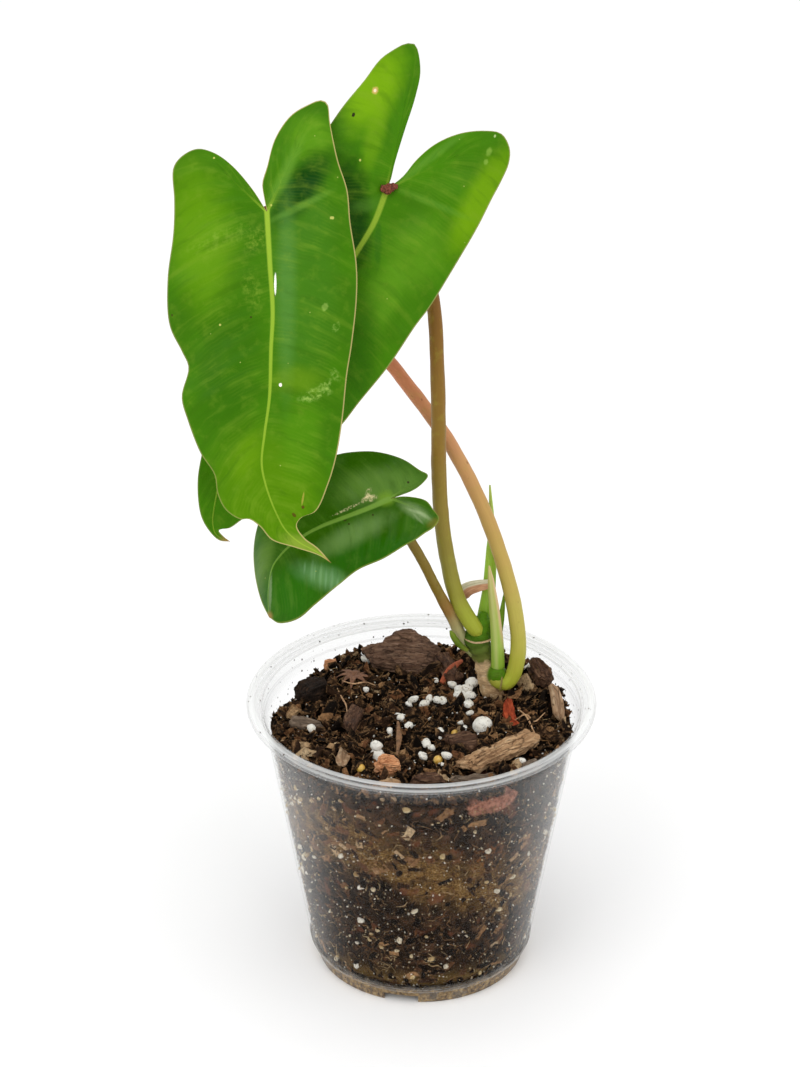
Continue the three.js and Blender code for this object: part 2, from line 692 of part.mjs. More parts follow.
const SHEATHS = {
  sheath_back: {
    path: [[22.4, 20.5, 120.8], [23.4, 23, 130.4], [24, 26, 140.5], [24.3, 29, 150.6], [23.5, 33.5, 165.6]],
    section: [[0, 3.1, 1.4, 0.6], [0.25, 2.3, 1.1, 0.5], [0.6, 1.8, 0.9, 0.3], [1, 0.3, 0.3, 0]],
    colour: COLOURS.sheath,
  },
  sheath_front: {
    path: [[26.6, 13.5, 106.5], [26.1, 12.6, 116], [25.2, 12.6, 126], [24.1, 13.2, 135.5], [23, 14, 144.5]],
    section: [[0, 2.4, 1, 0.8], [0.25, 2.2, 0.7, 1], [0.6, 1.7, 0.6, 0.8], [0.85, 1.1, 0.5, 0.4], [1, 0.3, 0.3, 0]],
    colour: COLOURS.sheath,
  },
  sheath_curl: {
    path: [
      [19.6, 21.5, 119.5], [15.6, 24, 121.5], [13.4, 25, 125.5], [15.4, 24.2, 129.6], [19.4, 21.5, 132.8],
      [24.2, 18.2, 135.4],
    ],
    section: [[0, 0.9, 0.5], [0.3, 1.4, 0.45], [0.55, 2.6, 0.4], [0.8, 2.1, 0.4], [1, 1.5, 0.35]],
    face: [0, -0.9, 0.45],
    colour: COLOURS.dry,
  },
  sheath_sliver: {
    path: [[24.6, 17.4, 104], [26, 17.6, 110], [27.2, 18, 118], [28.1, 19, 126], [28.5, 19.8, 130.5]],
    section: [[0, 1.2, 0.6, 0.2], [0.6, 1.1, 0.4, 0.2], [1, 0.3, 0.3, 0]],
    colour: COLOURS.sheath,
  },
  bud_left: {
    path: [[15.8, 14.6, 111.4], [13.4, 13.2, 114], [11.4, 12.9, 117], [10, 12.8, 120]],
    section: [[0, 0.8, 0.8], [0.5, 1.15, 1.1], [0.8, 1, 0.9], [1, 0.4, 0.4]],
    colour: COLOURS.sheath,
  },
};
for (const [name, { path, section, face, colour }] of Object.entries(SHEATHS))
  add(name, besidePlant(strapSolid(path, through(section), { rings: 12, face })), colour);

// The scrap caught in the back leaf's notch lies on the blade's face.
const scrap = union([
  ballSolid([0, 0, 0], [2.1, 1.8, 1.5], 21, 0.3),
  ballSolid([1.8, 0.6, 0.4], [1.4, 1.2, 1.2], 22, 0.3),
]);
const notch = vec(...BACK.at).addScaledVector(bladeFrame(BACK).face, 1.2);
add(
  "leaf_debris",
  mainBody(scrap.translate(notch.toArray()).subtract(bladeSolid(BACK, GAP)).subtract(plant)),
  COLOURS.dry,
);

// Loose pieces on the mix: where each lies and how far its middle is above the mix around it, its size,
// how it is tilted about x and y, and where its long side points.
const SLAB = [
  [1, 0.1], [0.75, 0.6], [0.2, 1], [-0.1, 0.9], [-0.55, 0.4], [-1, 0.1], [-0.75, -0.5], [-0.3, -0.8],
  [0.3, -1], [0.8, -0.6],
];
const TRIANGLE = [[1, 0.2], [0.5, 0.8], [-0.9, 0.9], [-0.7, -0.1], [0, -1], [0.6, -0.7]];
const LOOSE = {
  bark_slab: { at: [-6.5, 40, 4], size: [29, 21, 5], tilt: [20, 3], heading: 6, outline: SLAB, colour: "bark" },
  bark_twisted: { at: [9, 31, 1.6], size: [25, 8, 6], tilt: [10, 3], heading: -72, colour: "bark" },
  bark_strip: { at: [25.5, -25, 2.2], size: [36, 8, 4.5], tilt: [12, -4], heading: 36, colour: "barkPale" },
  bark_strip_grey: { at: [18, -38, 0.4], size: [17, 6.5, 4], tilt: [8, 0], heading: 8, colour: "barkGrey" },
  bark_round: { at: [1.5, -38, 0.8], size: [13, 8, 6], tilt: [6, 8], heading: 10, colour: "bark" },
  bark_orange: { at: [-11.5, -31, 1.6], size: [10, 9, 6], tilt: [0, 8], heading: 20, colour: "barkOrange" },
  bark_orange_small: { at: [-32, 37, 1], size: [6, 4, 3.5], tilt: [0, 0], heading: 30, colour: "barkOrange" },
  bark_red: { at: [31, 3.5, 1.4], size: [19, 4, 3], tilt: [20, 6], heading: -80, colour: "barkRed" },
  bark_right: { at: [42, 23, 3.4], size: [14, 7, 7], tilt: [5, -10], heading: 112, colour: "bark" },
  chip_reddish: { at: [-23.5, -1, 1], size: [18, 7, 3.5], tilt: [12, 0], heading: 78, colour: "barkRed" },
  chip_tan: { at: [-10.5, -42.5, 0.4], size: [10, 5, 3], tilt: [15, 0], heading: 5, colour: "barkPale" },
  chip_triangle: { at: [14.5, -17, 1.2], size: [12, 11, 3.4], tilt: [10, 4], heading: 30, outline: TRIANGLE, colour: "bark" },
  shard_grey: { at: [37, -29, 0.6], size: [9, 6, 2.5], tilt: [25, 0], heading: 40, colour: "barkGrey" },
  flake_grey: { at: [-40, -2, 1], size: [14, 6, 2], tilt: [18, 5], heading: -8, colour: "barkGrey" },
  clod_dark: { at: [-37.5, 17, 3.2], size: [12, 11, 8], tilt: [0, 0], heading: 40, colour: "bark" },
  husk_left: { at: [-26.5, -29, 1.6], size: [17, 5, 1.8], tilt: [35, 10], heading: 86, colour: "husk" },
  husk_right: { at: [46.5, 6, 4.4], size: [18, 6, 2], tilt: [35, -26], heading: 98, colour: "husk" },
};
const BALLS = {
  perlite_big: { balls: [[21, -7, 2, 3.4]], colour: "perlite" },
  perlite_cluster: {
    balls: [[13.6, 15.5, 1, 2.5], [17, 13.5, 1.4, 2.2], [16.2, 18.5, 1.2, 2.7], [14.5, 11.5, 0.9, 1.9]],
    colour: "perlite",
  },
  perlite_tall: {
    balls: [[-15, -24, 1.2, 2.4], [-15.2, -23.6, 4.4, 2.1], [-14.6, -26, 1, 1.9]],
    colour: "perlite",
  },
  prill_a: { balls: [[11.5, -10, 1, 1.5]], colour: "prill" },
  prill_b: { balls: [[5.5, -26, 1, 1.6]], colour: "prill" },
  prill_c: { balls: [[-20.5, -33, 1, 1.5]], colour: "prill" },
};

// Each loose piece as a solid, and grown by the gap as the socket that it lies in.
const pieces = Object.entries(LOOSE).map(([name, piece], i) => {
  const [x, y, lift] = piece.at;
  const place = { at: [x, y, soilHeight(x, y) + lift], tilt: piece.tilt, heading: piece.heading };
  const shape = { ...piece, seed: 40 + i, place };
  return { name, colour: piece.colour, solid: chipSolid(shape), socket: chipSolid({ ...shape, grow: GAP }) };
});
Object.entries(BALLS).forEach(([name, { balls, colour }], i) => {
  const made = (grow) =>
    union(
      balls.map(([x, y, lift, r], k) =>
        ballSolid([x, y, soilHeight(x, y) + lift], Array(3).fill(r + grow), 70 + 5 * i + k),
      ),
    );
  pieces.push({ name, colour, solid: made(0), socket: made(1.2 * GAP) });
});

// The first of two pieces that touch keeps its shape, and the later one is cut clear of it.
const taken = [plant];
for (const piece of pieces) {
  add(piece.name, mainBody(piece.solid.subtract(union(taken))), COLOURS[piece.colour], 0.9);
  taken.push(piece.socket);
}
add("soil", mainBody(soilSolid().subtract(union(taken))), COLOURS.soil, 0.95);

// Bring the middle of the bounding box to x = y = 0 and the foot to z = 0.
const box = new THREE.Box3().setFromObject(model, true);
const middle = box.getCenter(vec());
model.position.set(-middle.x, -middle.y, -box.min.z);

export default model;
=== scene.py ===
"""A philodendron in a clear nursery pot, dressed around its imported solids.

Millimetres in the code, metres in the meshes. Points are given from the pot's axis: x to the right,
y away from the viewer, z up from the surface that the pot stands on.
"""

import random
from math import cos, degrees, hypot, pi, radians, sin, sqrt

import bmesh
import bpy
import numpy as np
from bpy.props import FloatProperty, FloatVectorProperty, IntProperty, PointerProperty
from bpy.types import Operator, Panel, PropertyGroup
from mathutils import Euler, Matrix, Vector, noise
from numpy.linalg import norm


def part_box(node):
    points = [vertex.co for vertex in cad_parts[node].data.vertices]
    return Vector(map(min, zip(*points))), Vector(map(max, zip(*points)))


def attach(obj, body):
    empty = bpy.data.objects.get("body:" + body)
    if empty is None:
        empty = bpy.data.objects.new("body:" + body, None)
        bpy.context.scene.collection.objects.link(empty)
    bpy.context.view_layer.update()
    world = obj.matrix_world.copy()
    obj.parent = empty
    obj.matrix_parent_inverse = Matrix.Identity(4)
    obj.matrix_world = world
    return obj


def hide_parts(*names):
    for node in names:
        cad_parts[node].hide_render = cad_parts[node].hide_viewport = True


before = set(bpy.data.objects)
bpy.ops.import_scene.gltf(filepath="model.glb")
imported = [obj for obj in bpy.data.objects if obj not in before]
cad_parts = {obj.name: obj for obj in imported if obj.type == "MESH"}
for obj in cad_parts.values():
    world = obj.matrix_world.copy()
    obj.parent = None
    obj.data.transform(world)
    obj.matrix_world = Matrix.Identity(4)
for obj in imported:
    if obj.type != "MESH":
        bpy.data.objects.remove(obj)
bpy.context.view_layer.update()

bl_info = {
    "name": "Potted philodendron",
    "version": (1, 0, 0),
    "blender": (4, 5, 0),
    "location": "View3D > Sidebar > Plant",
    "description": "Builds a philodendron in a clear nursery pot around its packed solids",
    "category": "Object",
}

MM = 0.001
POT_LOW, POT_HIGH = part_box("pot")
AXIS = np.array([(POT_LOW.x + POT_HIGH.x) / 2 / MM, (POT_LOW.y + POT_HIGH.y) / 2 / MM, 0.0])


def tone(red, green, blue):
    """A colour given as display values from 0 to 255, as the shaders' linear ones."""

    def linear(value):
        share = value / 255
        return share / 12.92 if share <= 0.04045 else ((share + 0.055) / 1.055) ** 2.4

    return linear(red), linear(green), linear(blue)


def linear_tint(tint):
    """A tint as the shaders take it: whole numbers are display values, others are linear already."""
    return tone(*tint) if all(isinstance(part, int) for part in tint) else tuple(tint)


def lighter(tint, by):
    return tuple(min(1.0, value * by) for value in linear_tint(tint))


# Settings


def length(name, description, default):
    return FloatProperty(
        name=name, description=description, default=default * MM, min=0, subtype="DISTANCE", unit="LENGTH"
    )


def colour(name, description, *default):
    return FloatVectorProperty(
        name=name, description=description, default=tone(*default), size=3, min=0, max=1, subtype="COLOR"
    )


def share(name, description, default):
    return FloatProperty(name=name, description=description, default=default, min=0, max=1, subtype="FACTOR")


def number(name, description, default):
    return IntProperty(name=name, description=description, default=default, min=0)


class PotSettings(PropertyGroup):
    rim: length("Rim radius", "Outside of the rolled rim", (POT_HIGH.y - POT_LOW.y) / 2 / MM)
    height: length("Height", "Top of the rolled rim", POT_HIGH.z / MM)
    roll: length("Roll radius", "Radius of the rolled rim's section", 1.75)
    wall: length("Wall", "Thickness of the plastic", 0.8)
    plastic: colour("Plastic", "Tint of the clear plastic", 236, 237, 236)
    dirt: colour("Dirt", "Specks of mix on the rim and the foot", 62, 44, 30)
    haze: share("Haze", "How milky the plastic is", 0.002)


class MixSettings(PropertyGroup):
    peat: colour("Peat", "Dark damp mix", 34, 24, 17)
    bark: colour("Bark", "Brown bark", 96, 68, 50)
    perlite: colour("Perlite", "White mineral grains", 224, 221, 212)
    crumbs: number("Crumbs", "Crumbs of mix on the top", 3000)
    flakes: number("Flakes", "Chips and flakes on the top", 900)
    strands: number("Strands", "Thin fibres on the top", 300)
    pressed: number("Pressed bits", "Bits of mix against the wall", 2900)
    specks: number("Specks", "Small white specks on the top", 330)


class BladeSettings(PropertyGroup):
    green: colour("Green", "Upper side of the two tall blades", 62, 117, 3)
    deep: colour("Deep green", "Upper side of the low blade", 50, 96, 4)
    under: colour("Underside", "Back of a blade", 112, 148, 62)
    rib: colour("Rib", "Midribs and the ribs of the lobes", 144, 176, 50)
    margin: colour("Margin", "The thin line round a blade", 184, 168, 108)
    thickness: length("Thickness", "Thickness of a blade", 0.6)


class StalkSettings(PropertyGroup):
    base: colour("Base", "Stalks near the stem", 168, 176, 54)
    olive: colour("Olive", "Middle of the back stalk", 134, 104, 36)
    brown: colour("Brown", "Top of the back stalk", 122, 78, 26)
    pink: colour("Pink", "Top of the front stalk", 196, 124, 84)
    node: colour("Node", "Green rings of the stem", 72, 114, 12)
    cork: colour("Cork", "Old foot of the stem", 194, 162, 120)
    paper: colour("Paper", "Dry scars and edges", 196, 168, 128)


class StageSettings(PropertyGroup):
    floor: colour("Floor", "Plain pale floor", 250, 250, 250)
    daylight: FloatProperty(name="Daylight", description="Light from all round", default=1.0, min=0)
    lamp: FloatProperty(name="Soft lamp", description="Large lamp at the upper left", default=6, unit="POWER")


class PlantSettings(PropertyGroup):
    pot: PointerProperty(type=PotSettings)
    mix: PointerProperty(type=MixSettings)
    blade: PointerProperty(type=BladeSettings)
    stalk: PointerProperty(type=StalkSettings)
    stage: PointerProperty(type=StageSettings)


# Shapes shared with the solids: pot

WALL_TOP = (55.3, 98.5)
WALL_LOW = (39.7, 10.0)
LEDGE = (95.0, 0.6)
FOOT = {"r": 36.5, "width": 1.4, "step": 4.4}
FLOOR_TOP = 4.2
NOTCH = {"count": 3, "width": 12, "height": 2.8, "first": 259}
DRAIN = {"count": 6, "r": 3, "circle": 21}
WALL = 0.8
# Painted highlights: thin bright lines round the rolled rim, the ledge and the foot's step, as height and strength
RIM_HIGHLIGHTS = [(101.75, 0.3), (100.2, 0.1), (98.8, 0.42), (95, 0.12), (5.2, 0.4)]


def wall_radius(z):
    return np.interp(z, [WALL_LOW[1], WALL_TOP[1]], [WALL_LOW[0], WALL_TOP[0]])


LEDGE_FOOT = (float(wall_radius(LEDGE[0] - 1)) - WALL - LEDGE[1], LEDGE[0] - 1)


def inner_radius(z):
    """Inside of the wall, from the foot's corner to the ledge."""
    return np.interp(z, [WALL_LOW[1], LEDGE_FOOT[1]], [WALL_LOW[0] - WALL, LEDGE_FOOT[0]])


# Shapes shared with the solids: mix

SOIL_TOP = 91.5
SOIL_RISE = 0.03
SLUMP = (46, 8, 0.8)
BRIM = {"read_at": 88, "sunk": 0.6, "under_ledge": 4}
HOLLOW = (-49, 23, 12, 8)
# The plate of reddish bark at the wall, and the radius that the wall is unrolled at for its marks
PLATE = {"turn": -62, "z": 87, "size": (10, 4.6)}
UNROLLED = 52
# The pale band behind the wall: level on the left, dropping to the right from here
BAND = {"from": -12, "drop": 0.42, "z": 66, "half": 14}


def draws(seed):
    """The solids' own seeded draws, between 0 and 1."""
    state = seed

    def next_draw():
        nonlocal state
        state = (state * 1664525 + 1013904223) & 0xFFFFFFFF
        return state / 4294967296

    return next_draw


def soil_lumps(count=80, reach=(3.5, 8.5), height=(-1.6, 2.4)):
    draw = draws(11)
    lumps = []
    for _ in range(count):
        r, turn = LEDGE_FOOT[0] * sqrt(draw()), 2 * pi * draw()
        wide = reach[0] + (reach[1] - reach[0]) * draw()
        high = height[0] + (height[1] - height[0]) * draw()
        lumps.append((r * cos(turn), r * sin(turn), wide, high))
    return lumps


LUMPS = soil_lumps()


def mix_height(x, y):
    """Height of the mix at points x, y."""
    z = SOIL_TOP + SOIL_RISE * y
    for lump_x, lump_y, wide, high in LUMPS:
        z = z + high * np.exp(-((x - lump_x) ** 2 + (y - lump_y) ** 2) / wide**2)
    hollow_x, hollow_y, reach, deep = HOLLOW
    z = z - deep * np.exp(-((x - hollow_x) ** 2 + (y - hollow_y) ** 2) / reach**2)
    start, over, depth = SLUMP
    return z - depth * np.clip((np.hypot(x, y) - start) / over, 0, 1)


def wall_brim(turns):
    """How high the mix stands against the wall at these angles."""
    reach = inner_radius(BRIM["read_at"]) - 1
    level = mix_height(reach * np.cos(turns), reach * np.sin(turns)) - BRIM["sunk"]
    return np.minimum(level, LEDGE_FOOT[1] - BRIM["under_ledge"])


# Shapes shared with the solids: blades, drawn flat as [across, along] from where the stalk meets them

FRONT = dict(
    at=(-49.5, 4, 276.5), elevation=27, yaw=0, turn=0, length=110, fold=(0.3, 0.1), curl=0.011, bow=5,
    lobe_back=0.005, left_wave=(2.2, 36, -2.4), right_wave=(1.2, 40, 0.6), dents=[(9, -8, 2.5, 7)],
    mid=[
        (0, 0), (1, 16), (2, 32), (1.5, 43.5), (1, 59), (-0.5, 70), (-1.5, 80), (0, 87.5), (3, 95.5),
        (6, 101), (10.5, 105), (16, 108), (20.5, 111.5),
    ],
    right=(
        [(0, 0), (-1, -5), (-1.5, -9), (0, -14.5), (2.5, -23.5), (7.5, -31), (13, -34.5), (17, -36)],
        [(19, -35), (20, -28.5), (22.5, -16.5), (25.5, -7), (26.5, 3.5)],
        [
            (28.5, 17), (28.5, 28), (27, 42.5), (25.5, 52), (24, 66), (22, 78), (19.5, 86.5), (15.5, 95),
            (11, 97), (9.5, 99.5), (12, 103.5), (16, 106.5), (20.5, 111.5),
        ],
    ),
    left=(
        [(0, 0), (-4.5, -7), (-11, -14.5), (-16.5, -18.5), (-22, -20)],
        [(-26.5, -18), (-29.5, -14), (-29.5, -4), (-30, 7)],
        [
            (-31.3, 22), (-31, 36), (-26.9, 44.5), (-24.7, 49.5), (-26.7, 59), (-25, 66), (-21, 76.5),
            (-16.5, 83.5), (-15.5, 89.5), (-13, 94.5), (-8.5, 97.5), (-5.5, 97.5), (-2, 100), (1.5, 104),
            (9, 106.5), (16.5, 109), (20.5, 111.5),
        ],
    ),
)
BACK = dict(
    at=(-11.5, 18, 279), elevation=22, yaw=8, turn=27, length=123, fold=(0.34, 0.12), curl=0.012, bow=4,
    lobe_back=0.006, left_wave=(1.2, 44, 0.5), right_wave=(1.2, 44, 1.2), dents=[(8, 6, 2, 7)],
    mid=[
        (0, 0), (0.5, 11), (-1, 23), (-2.5, 36.5), (-4.5, 52), (-7, 68), (-9.5, 83), (-11.5, 95.5),
        (-12, 104), (-10.5, 113), (-8, 121), (-5.5, 123.8), (-0.5, 124),
    ],
    right=(
        [(0, 0), (3, -5.5), (5, -12.5), (8.5, -19.5), (14.5, -26), (22, -30.5), (27.5, -32)],
        [(32, -29), (33.8, -24.5), (33.7, -18), (32.9, -11.5), (31.9, -1)],
        [
            (30.8, 8), (28.4, 28), (26, 37), (23, 53), (19.5, 66.5), (17.5, 74.5), (13.5, 84.5), (9.5, 95),
            (6, 105.5), (3, 112), (0, 116), (-2.5, 120), (-5.5, 122), (-3.5, 123.2), (-0.5, 124),
        ],
    ),
    left=(
        [(0, 0), (0, -3), (-1, -8.5), (-2.2, -20), (-3, -31), (-4.8, -40.3), (-9.6, -47.2)],
        [
            (-12.6, -45.7), (-15.3, -42.3), (-18.2, -37.4), (-20.4, -28.8), (-23.2, -19.2), (-25, -10.5), (-26.5, -2.5),
            (-27, 6),
        ],
        [
            (-27, 16), (-25.5, 24), (-25, 37), (-25.5, 52), (-25.5, 67.5), (-23.5, 84), (-20.5, 101.5),
            (-18, 110.5), (-13, 119.5), (-9, 123), (-4, 125), (-0.5, 124),
        ],
    ),
)
LOW = dict(
    at=(-10.3, 5, 174.5), elevation=45, yaw=-3, turn=66, length=50, fold=(0.3, -0.15), curl=0.012, bow=1,
    lobe_back=0.004, rib_width=1.1, tip=(36, 0.05), corner=(30, 0.03), left_wave=(0.8, 30, 0), right_wave=(0.8, 26, 1),
    dents=[],
    mid=[(0, 0), (0.5, 8), (0.5, 16.5), (0.5, 25.5), (1.5, 33), (4, 41), (6, 45), (11, 49), (17, 51.8)],
    right=(
        [(0, 0), (0.5, -3), (2.5, -7), (5.5, -10.5), (9.5, -11.5), (13, -12)],
        [(15, -9.5), (16, -5.5), (17, -2), (17.5, 2)],
        [(18.5, 9.5), (18.5, 19), (20.5, 27), (22.2, 36), (22.8, 42.8), (20.3, 49.4), (17, 51.8)],
    ),
    left=(
        [(0, 0), (0, -3), (0, -7.5), (-1, -11.5), (-3, -14.5)],
        [(-5.5, -12.5), (-10, -9.5), (-13.5, -6), (-17, -1)],
        [
            (-20, 6), (-21.5, 11), (-22.5, 18.5), (-21, 27.5), (-16.5, 36.5), (-12, 43), (-8, 46.5),
            (-3.5, 49), (4, 51.3), (11.5, 52.2), (17, 51.8),
        ],
    ),
)
TIP_CROWDING = 1.35
RIB_REACH = 0.6
RIDGE = 2.2
# Side veins: how far apart, and how far they lean towards the tip at the margin
VEINS = {"apart": 6.4, "sweep": 7}


def smooth_run(points, stops):
    """Points of the centripetal curve through points, at stops counted in control points."""
    points = np.array(points, float)
    last = len(points) - 2
    k = np.minimum(np.floor(stops).astype(int), last)
    w = (np.asarray(stops) - k)[:, None]
    before = np.vstack([2 * points[0] - points[1], points[:-2]])[k]
    after = np.vstack([points[2:], 2 * points[-1] - points[-2]])[k]
    here, there = points[k], points[k + 1]

    def gap(a, b):
        return norm(a - b, axis=1)[:, None] ** 0.5

    d0, d1, d2 = gap(before, here), gap(here, there), gap(there, after)
    start = ((here - before) / d0 - (there - before) / (d0 + d1) + (there - here) / d1) * d1
    end = ((there - here) / d1 - (after - here) / (d1 + d2) + (after - there) / d2) * d1
    square = -3 * here + 3 * there - 2 * start - end
    cube = 2 * here - 2 * there + start + end
    return here + start * w + square * w**2 + cube * w**3


def evenly(points, first, last, n, crowding=1.0, steps=900):
    """n + 1 points between two control points, even by length or crowded towards the end."""
    fine = smooth_run(points, np.linspace(first, last, steps + 1))
    lengths = np.concatenate([[0], np.cumsum(norm(np.diff(fine, axis=0), axis=1))])
    wanted = lengths[-1] * (1 - (1 - np.arange(n + 1) / n) ** crowding)
    return np.stack([np.interp(wanted, lengths, fine[:, i]) for i in range(fine.shape[1])], axis=1)


def midrib_at(leaf, along):
    line = evenly(leaf["mid"], 0, len(leaf["mid"]) - 1, 60)
    return np.interp(along, np.maximum.accumulate(line[:, 1]), line[:, 0])


def blade_relief(leaf, across, along):
    """How far the bent blade stands off its flat plane."""
    rib = midrib_at(leaf, along)
    off = np.abs(across - rib)
    u = np.clip(along / leaf["length"], 0, 1)
    height = (leaf["fold"][0] * (1 - u) + leaf["fold"][1] * u) * off - leaf["curl"] * off**2
    height += leaf["bow"] * 4 * u * (1 - u) - leaf["lobe_back"] * np.minimum(along, 0) ** 2
    if "tip" in leaf:
        height -= leaf["tip"][1] * np.maximum(0, along - leaf["tip"][0]) ** 2
        height -= leaf["corner"][1] * np.maximum(0, 0.8 * across + 0.6 * along - leaf["corner"][0]) ** 2
    for side, (size, spacing, phase) in ((across < rib, leaf["left_wave"]), (across >= rib, leaf["right_wave"])):
        wave = size * np.sin(2 * pi * along / spacing + phase)
        height += side * wave * (np.minimum(off, 30) / 25) ** 2
    for x, y, depth, reach in leaf["dents"]:
        height -= depth * np.exp(-((across - x) ** 2 + (along - y) ** 2) / reach**2)
    return height


def blade_frame(leaf):
    """The blade's directions: across, down its length, and out of its upper face."""
    el, yaw, turn = (radians(leaf[key]) for key in ("elevation", "yaw", "turn"))
    face = np.array([sin(yaw) * cos(el), -cos(yaw) * cos(el), sin(el)])
    level = np.array([cos(yaw), sin(yaw), 0])
    drop = np.cross(level, face)
    down = drop * cos(turn) - level * sin(turn)
    across = level * cos(turn) + drop * sin(turn)
    return across, down, face


# Meshes


def clear_selection():
    if bpy.context.object and bpy.context.object.mode != "OBJECT":
        bpy.ops.object.mode_set(mode="OBJECT")
    bpy.ops.object.select_all(action="DESELECT")


def pick(obj):
    clear_selection()
    obj.select_set(True)
    bpy.context.view_layer.objects.active = obj
    return obj


def new_piece(name, points, faces, smooth=True):
    """A mesh object from points in millimetres from the pot's axis."""
    mesh = bpy.data.meshes.new(name)
    mesh.from_pydata(((np.asarray(points, float) + AXIS) * MM).tolist(), [], faces)
    mesh.polygons.foreach_set("use_smooth", [smooth] * len(mesh.polygons))
    mesh.update()
    piece = bpy.data.objects.new(name, mesh)
    bpy.context.scene.collection.objects.link(piece)
    return piece


def note(piece, name, values):
    """Stores a number or a vector for each point of a piece, for its material to read."""
    values = np.asarray(values, float)
    kind, key = ("FLOAT", "value") if values.ndim == 1 else ("FLOAT_VECTOR", "vector")
    piece.data.attributes.new(name, kind, "POINT").data.foreach_set(key, values.ravel())


def read(piece, key):
    flat = np.zeros(3 * len(piece.data.vertices))
    piece.data.vertices.foreach_get(key, flat)
    return flat.reshape(-1, 3)


def points_of(piece):
    """A piece's points in millimetres from the pot's axis."""
    return read(piece, "co") / MM - AXIS


def move_points(piece, points):
    piece.data.vertices.foreach_set("co", ((points + AXIS) * MM).ravel())
    piece.data.update()


def settle(piece=None):
    """Puts the place of a piece, or of the primitive just added, into its mesh."""
    piece = pick(piece or bpy.context.active_object)
    bpy.ops.object.transform_apply(location=True, rotation=True, scale=True)
    return piece


def finish_piece(piece, finish, replaces=()):
    """Gives a piece its material and its place in the frame."""
    if finish:
        piece.data.materials.clear()
        for material in finish if isinstance(finish, (list, tuple)) else [finish]:
            piece.data.materials.append(material)
    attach(piece, "root")
    if replaces:
        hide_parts(*replaces)
    return piece


def modify(piece, kind, **settings):
    """Adds a modifier and applies it."""
    pick(piece)
    modifier = piece.modifiers.new(kind.title(), kind)
    for key, value in settings.items():
        setattr(modifier, key, value)
    bpy.ops.object.modifier_apply(modifier=modifier.name)


def ball(middle, radii):
    """A round body to work on, middle and radii in millimetres."""
    clear_selection()
    at = (np.array(middle) + AXIS) * MM
    bpy.ops.mesh.primitive_ico_sphere_add(subdivisions=4, radius=MM, location=at.tolist(), scale=radii)
    return settle()


def swell(piece, shift):
    """Moves each point out along its normal, and smooths the shading."""
    move_points(piece, points_of(piece) + read(piece, "normal") * shift[:, None])
    pick(piece)
    bpy.ops.object.shade_smooth()


def join(pieces, name):
    whole = pick(pieces[0])
    for piece in pieces:
        piece.select_set(True)
    bpy.ops.object.join()
    whole.name = whole.data.name = name
    return whole


def rough(points, scale, octaves=3, seed=0.0):
    """Soft noise from about -1 to 1 at points, with features of about scale millimetres."""
    offset = Vector((seed * 17.3, seed * 5.1, -seed * 9.7))
    return np.array(
        [noise.fractal(Vector(p) / scale + offset, 1.0, 2.0, octaves) for p in np.asarray(points).tolist()]
    )


def tube_faces(rows, sides):
    """Faces round a tube of rows of points, closed by one more point at each end."""
    pairs = [(j, (j + 1) % sides) for j in range(sides)]
    low, high, last = rows * sides, rows * sides + 1, (rows - 1) * sides
    starts = range(0, last, sides)
    faces = [(i + j, i + k, i + sides + k, i + sides + j) for i in starts for j, k in pairs]
    return faces + [(low, k, j) for j, k in pairs] + [(high, last + j, last + k) for j, k in pairs]


def loft(name, path, section, rings=90, sides=28, face=(0, -1, 0), stops=None):
    """A closed tube along a smooth path. section(u) gives half width, half thickness and hollow."""
    us = np.linspace(0, 1, rings + 1) if stops is None else np.array(stops)
    span = len(path) - 1
    middles = smooth_run(path, us * span)
    ahead = smooth_run(path, np.minimum(us * span + 0.02, span))
    behind = smooth_run(path, np.maximum(us * span - 0.02, 0))
    runs = np.concatenate([[0], np.cumsum(norm(np.diff(middles, axis=0), axis=1))])
    turns = np.linspace(0, 2 * pi, sides, endpoint=False)
    points, run = [], []
    for u, middle, way, along in zip(us, middles, ahead - behind, runs):
        way = way / norm(way)
        front = np.array(face, float)
        front -= way * front.dot(way)
        front /= norm(front)
        side = np.cross(way, front)
        half, thick, hollow = section(u)
        c, s = np.cos(turns)[:, None], np.sin(turns)[:, None]
        points.append(middle + front * (thick * c - hollow * s * s) + side * half * s)
        run += [(u, along, turn) for turn in np.sin(turns)]
    points = np.vstack(points + [middles[:1], middles[-1:]])
    run += [(us[0], runs[0], 0), (us[-1], runs[-1], 0)]
    faces = tube_faces(len(us), sides)
    piece = new_piece(name, points, faces)
    note(piece, "run", run)
    outward(piece)
    return piece


def outward(piece):
    """Turns all faces of a closed mesh outwards."""
    shell = bmesh.new()
    shell.from_mesh(piece.data)
    if shell.calc_volume(signed=True) < 0:
        bmesh.ops.reverse_faces(shell, faces=shell.faces)
    shell.to_mesh(piece.data)
    shell.free()


def through(stops):
    """A function that runs through [position, values...] stops."""
    at = [stop[0] for stop in stops]
    columns = list(zip(*[(*stop[1:], *[0] * (4 - len(stop))) for stop in stops]))
    return lambda u: [float(np.interp(u, at, column)) for column in columns]


# Finishes


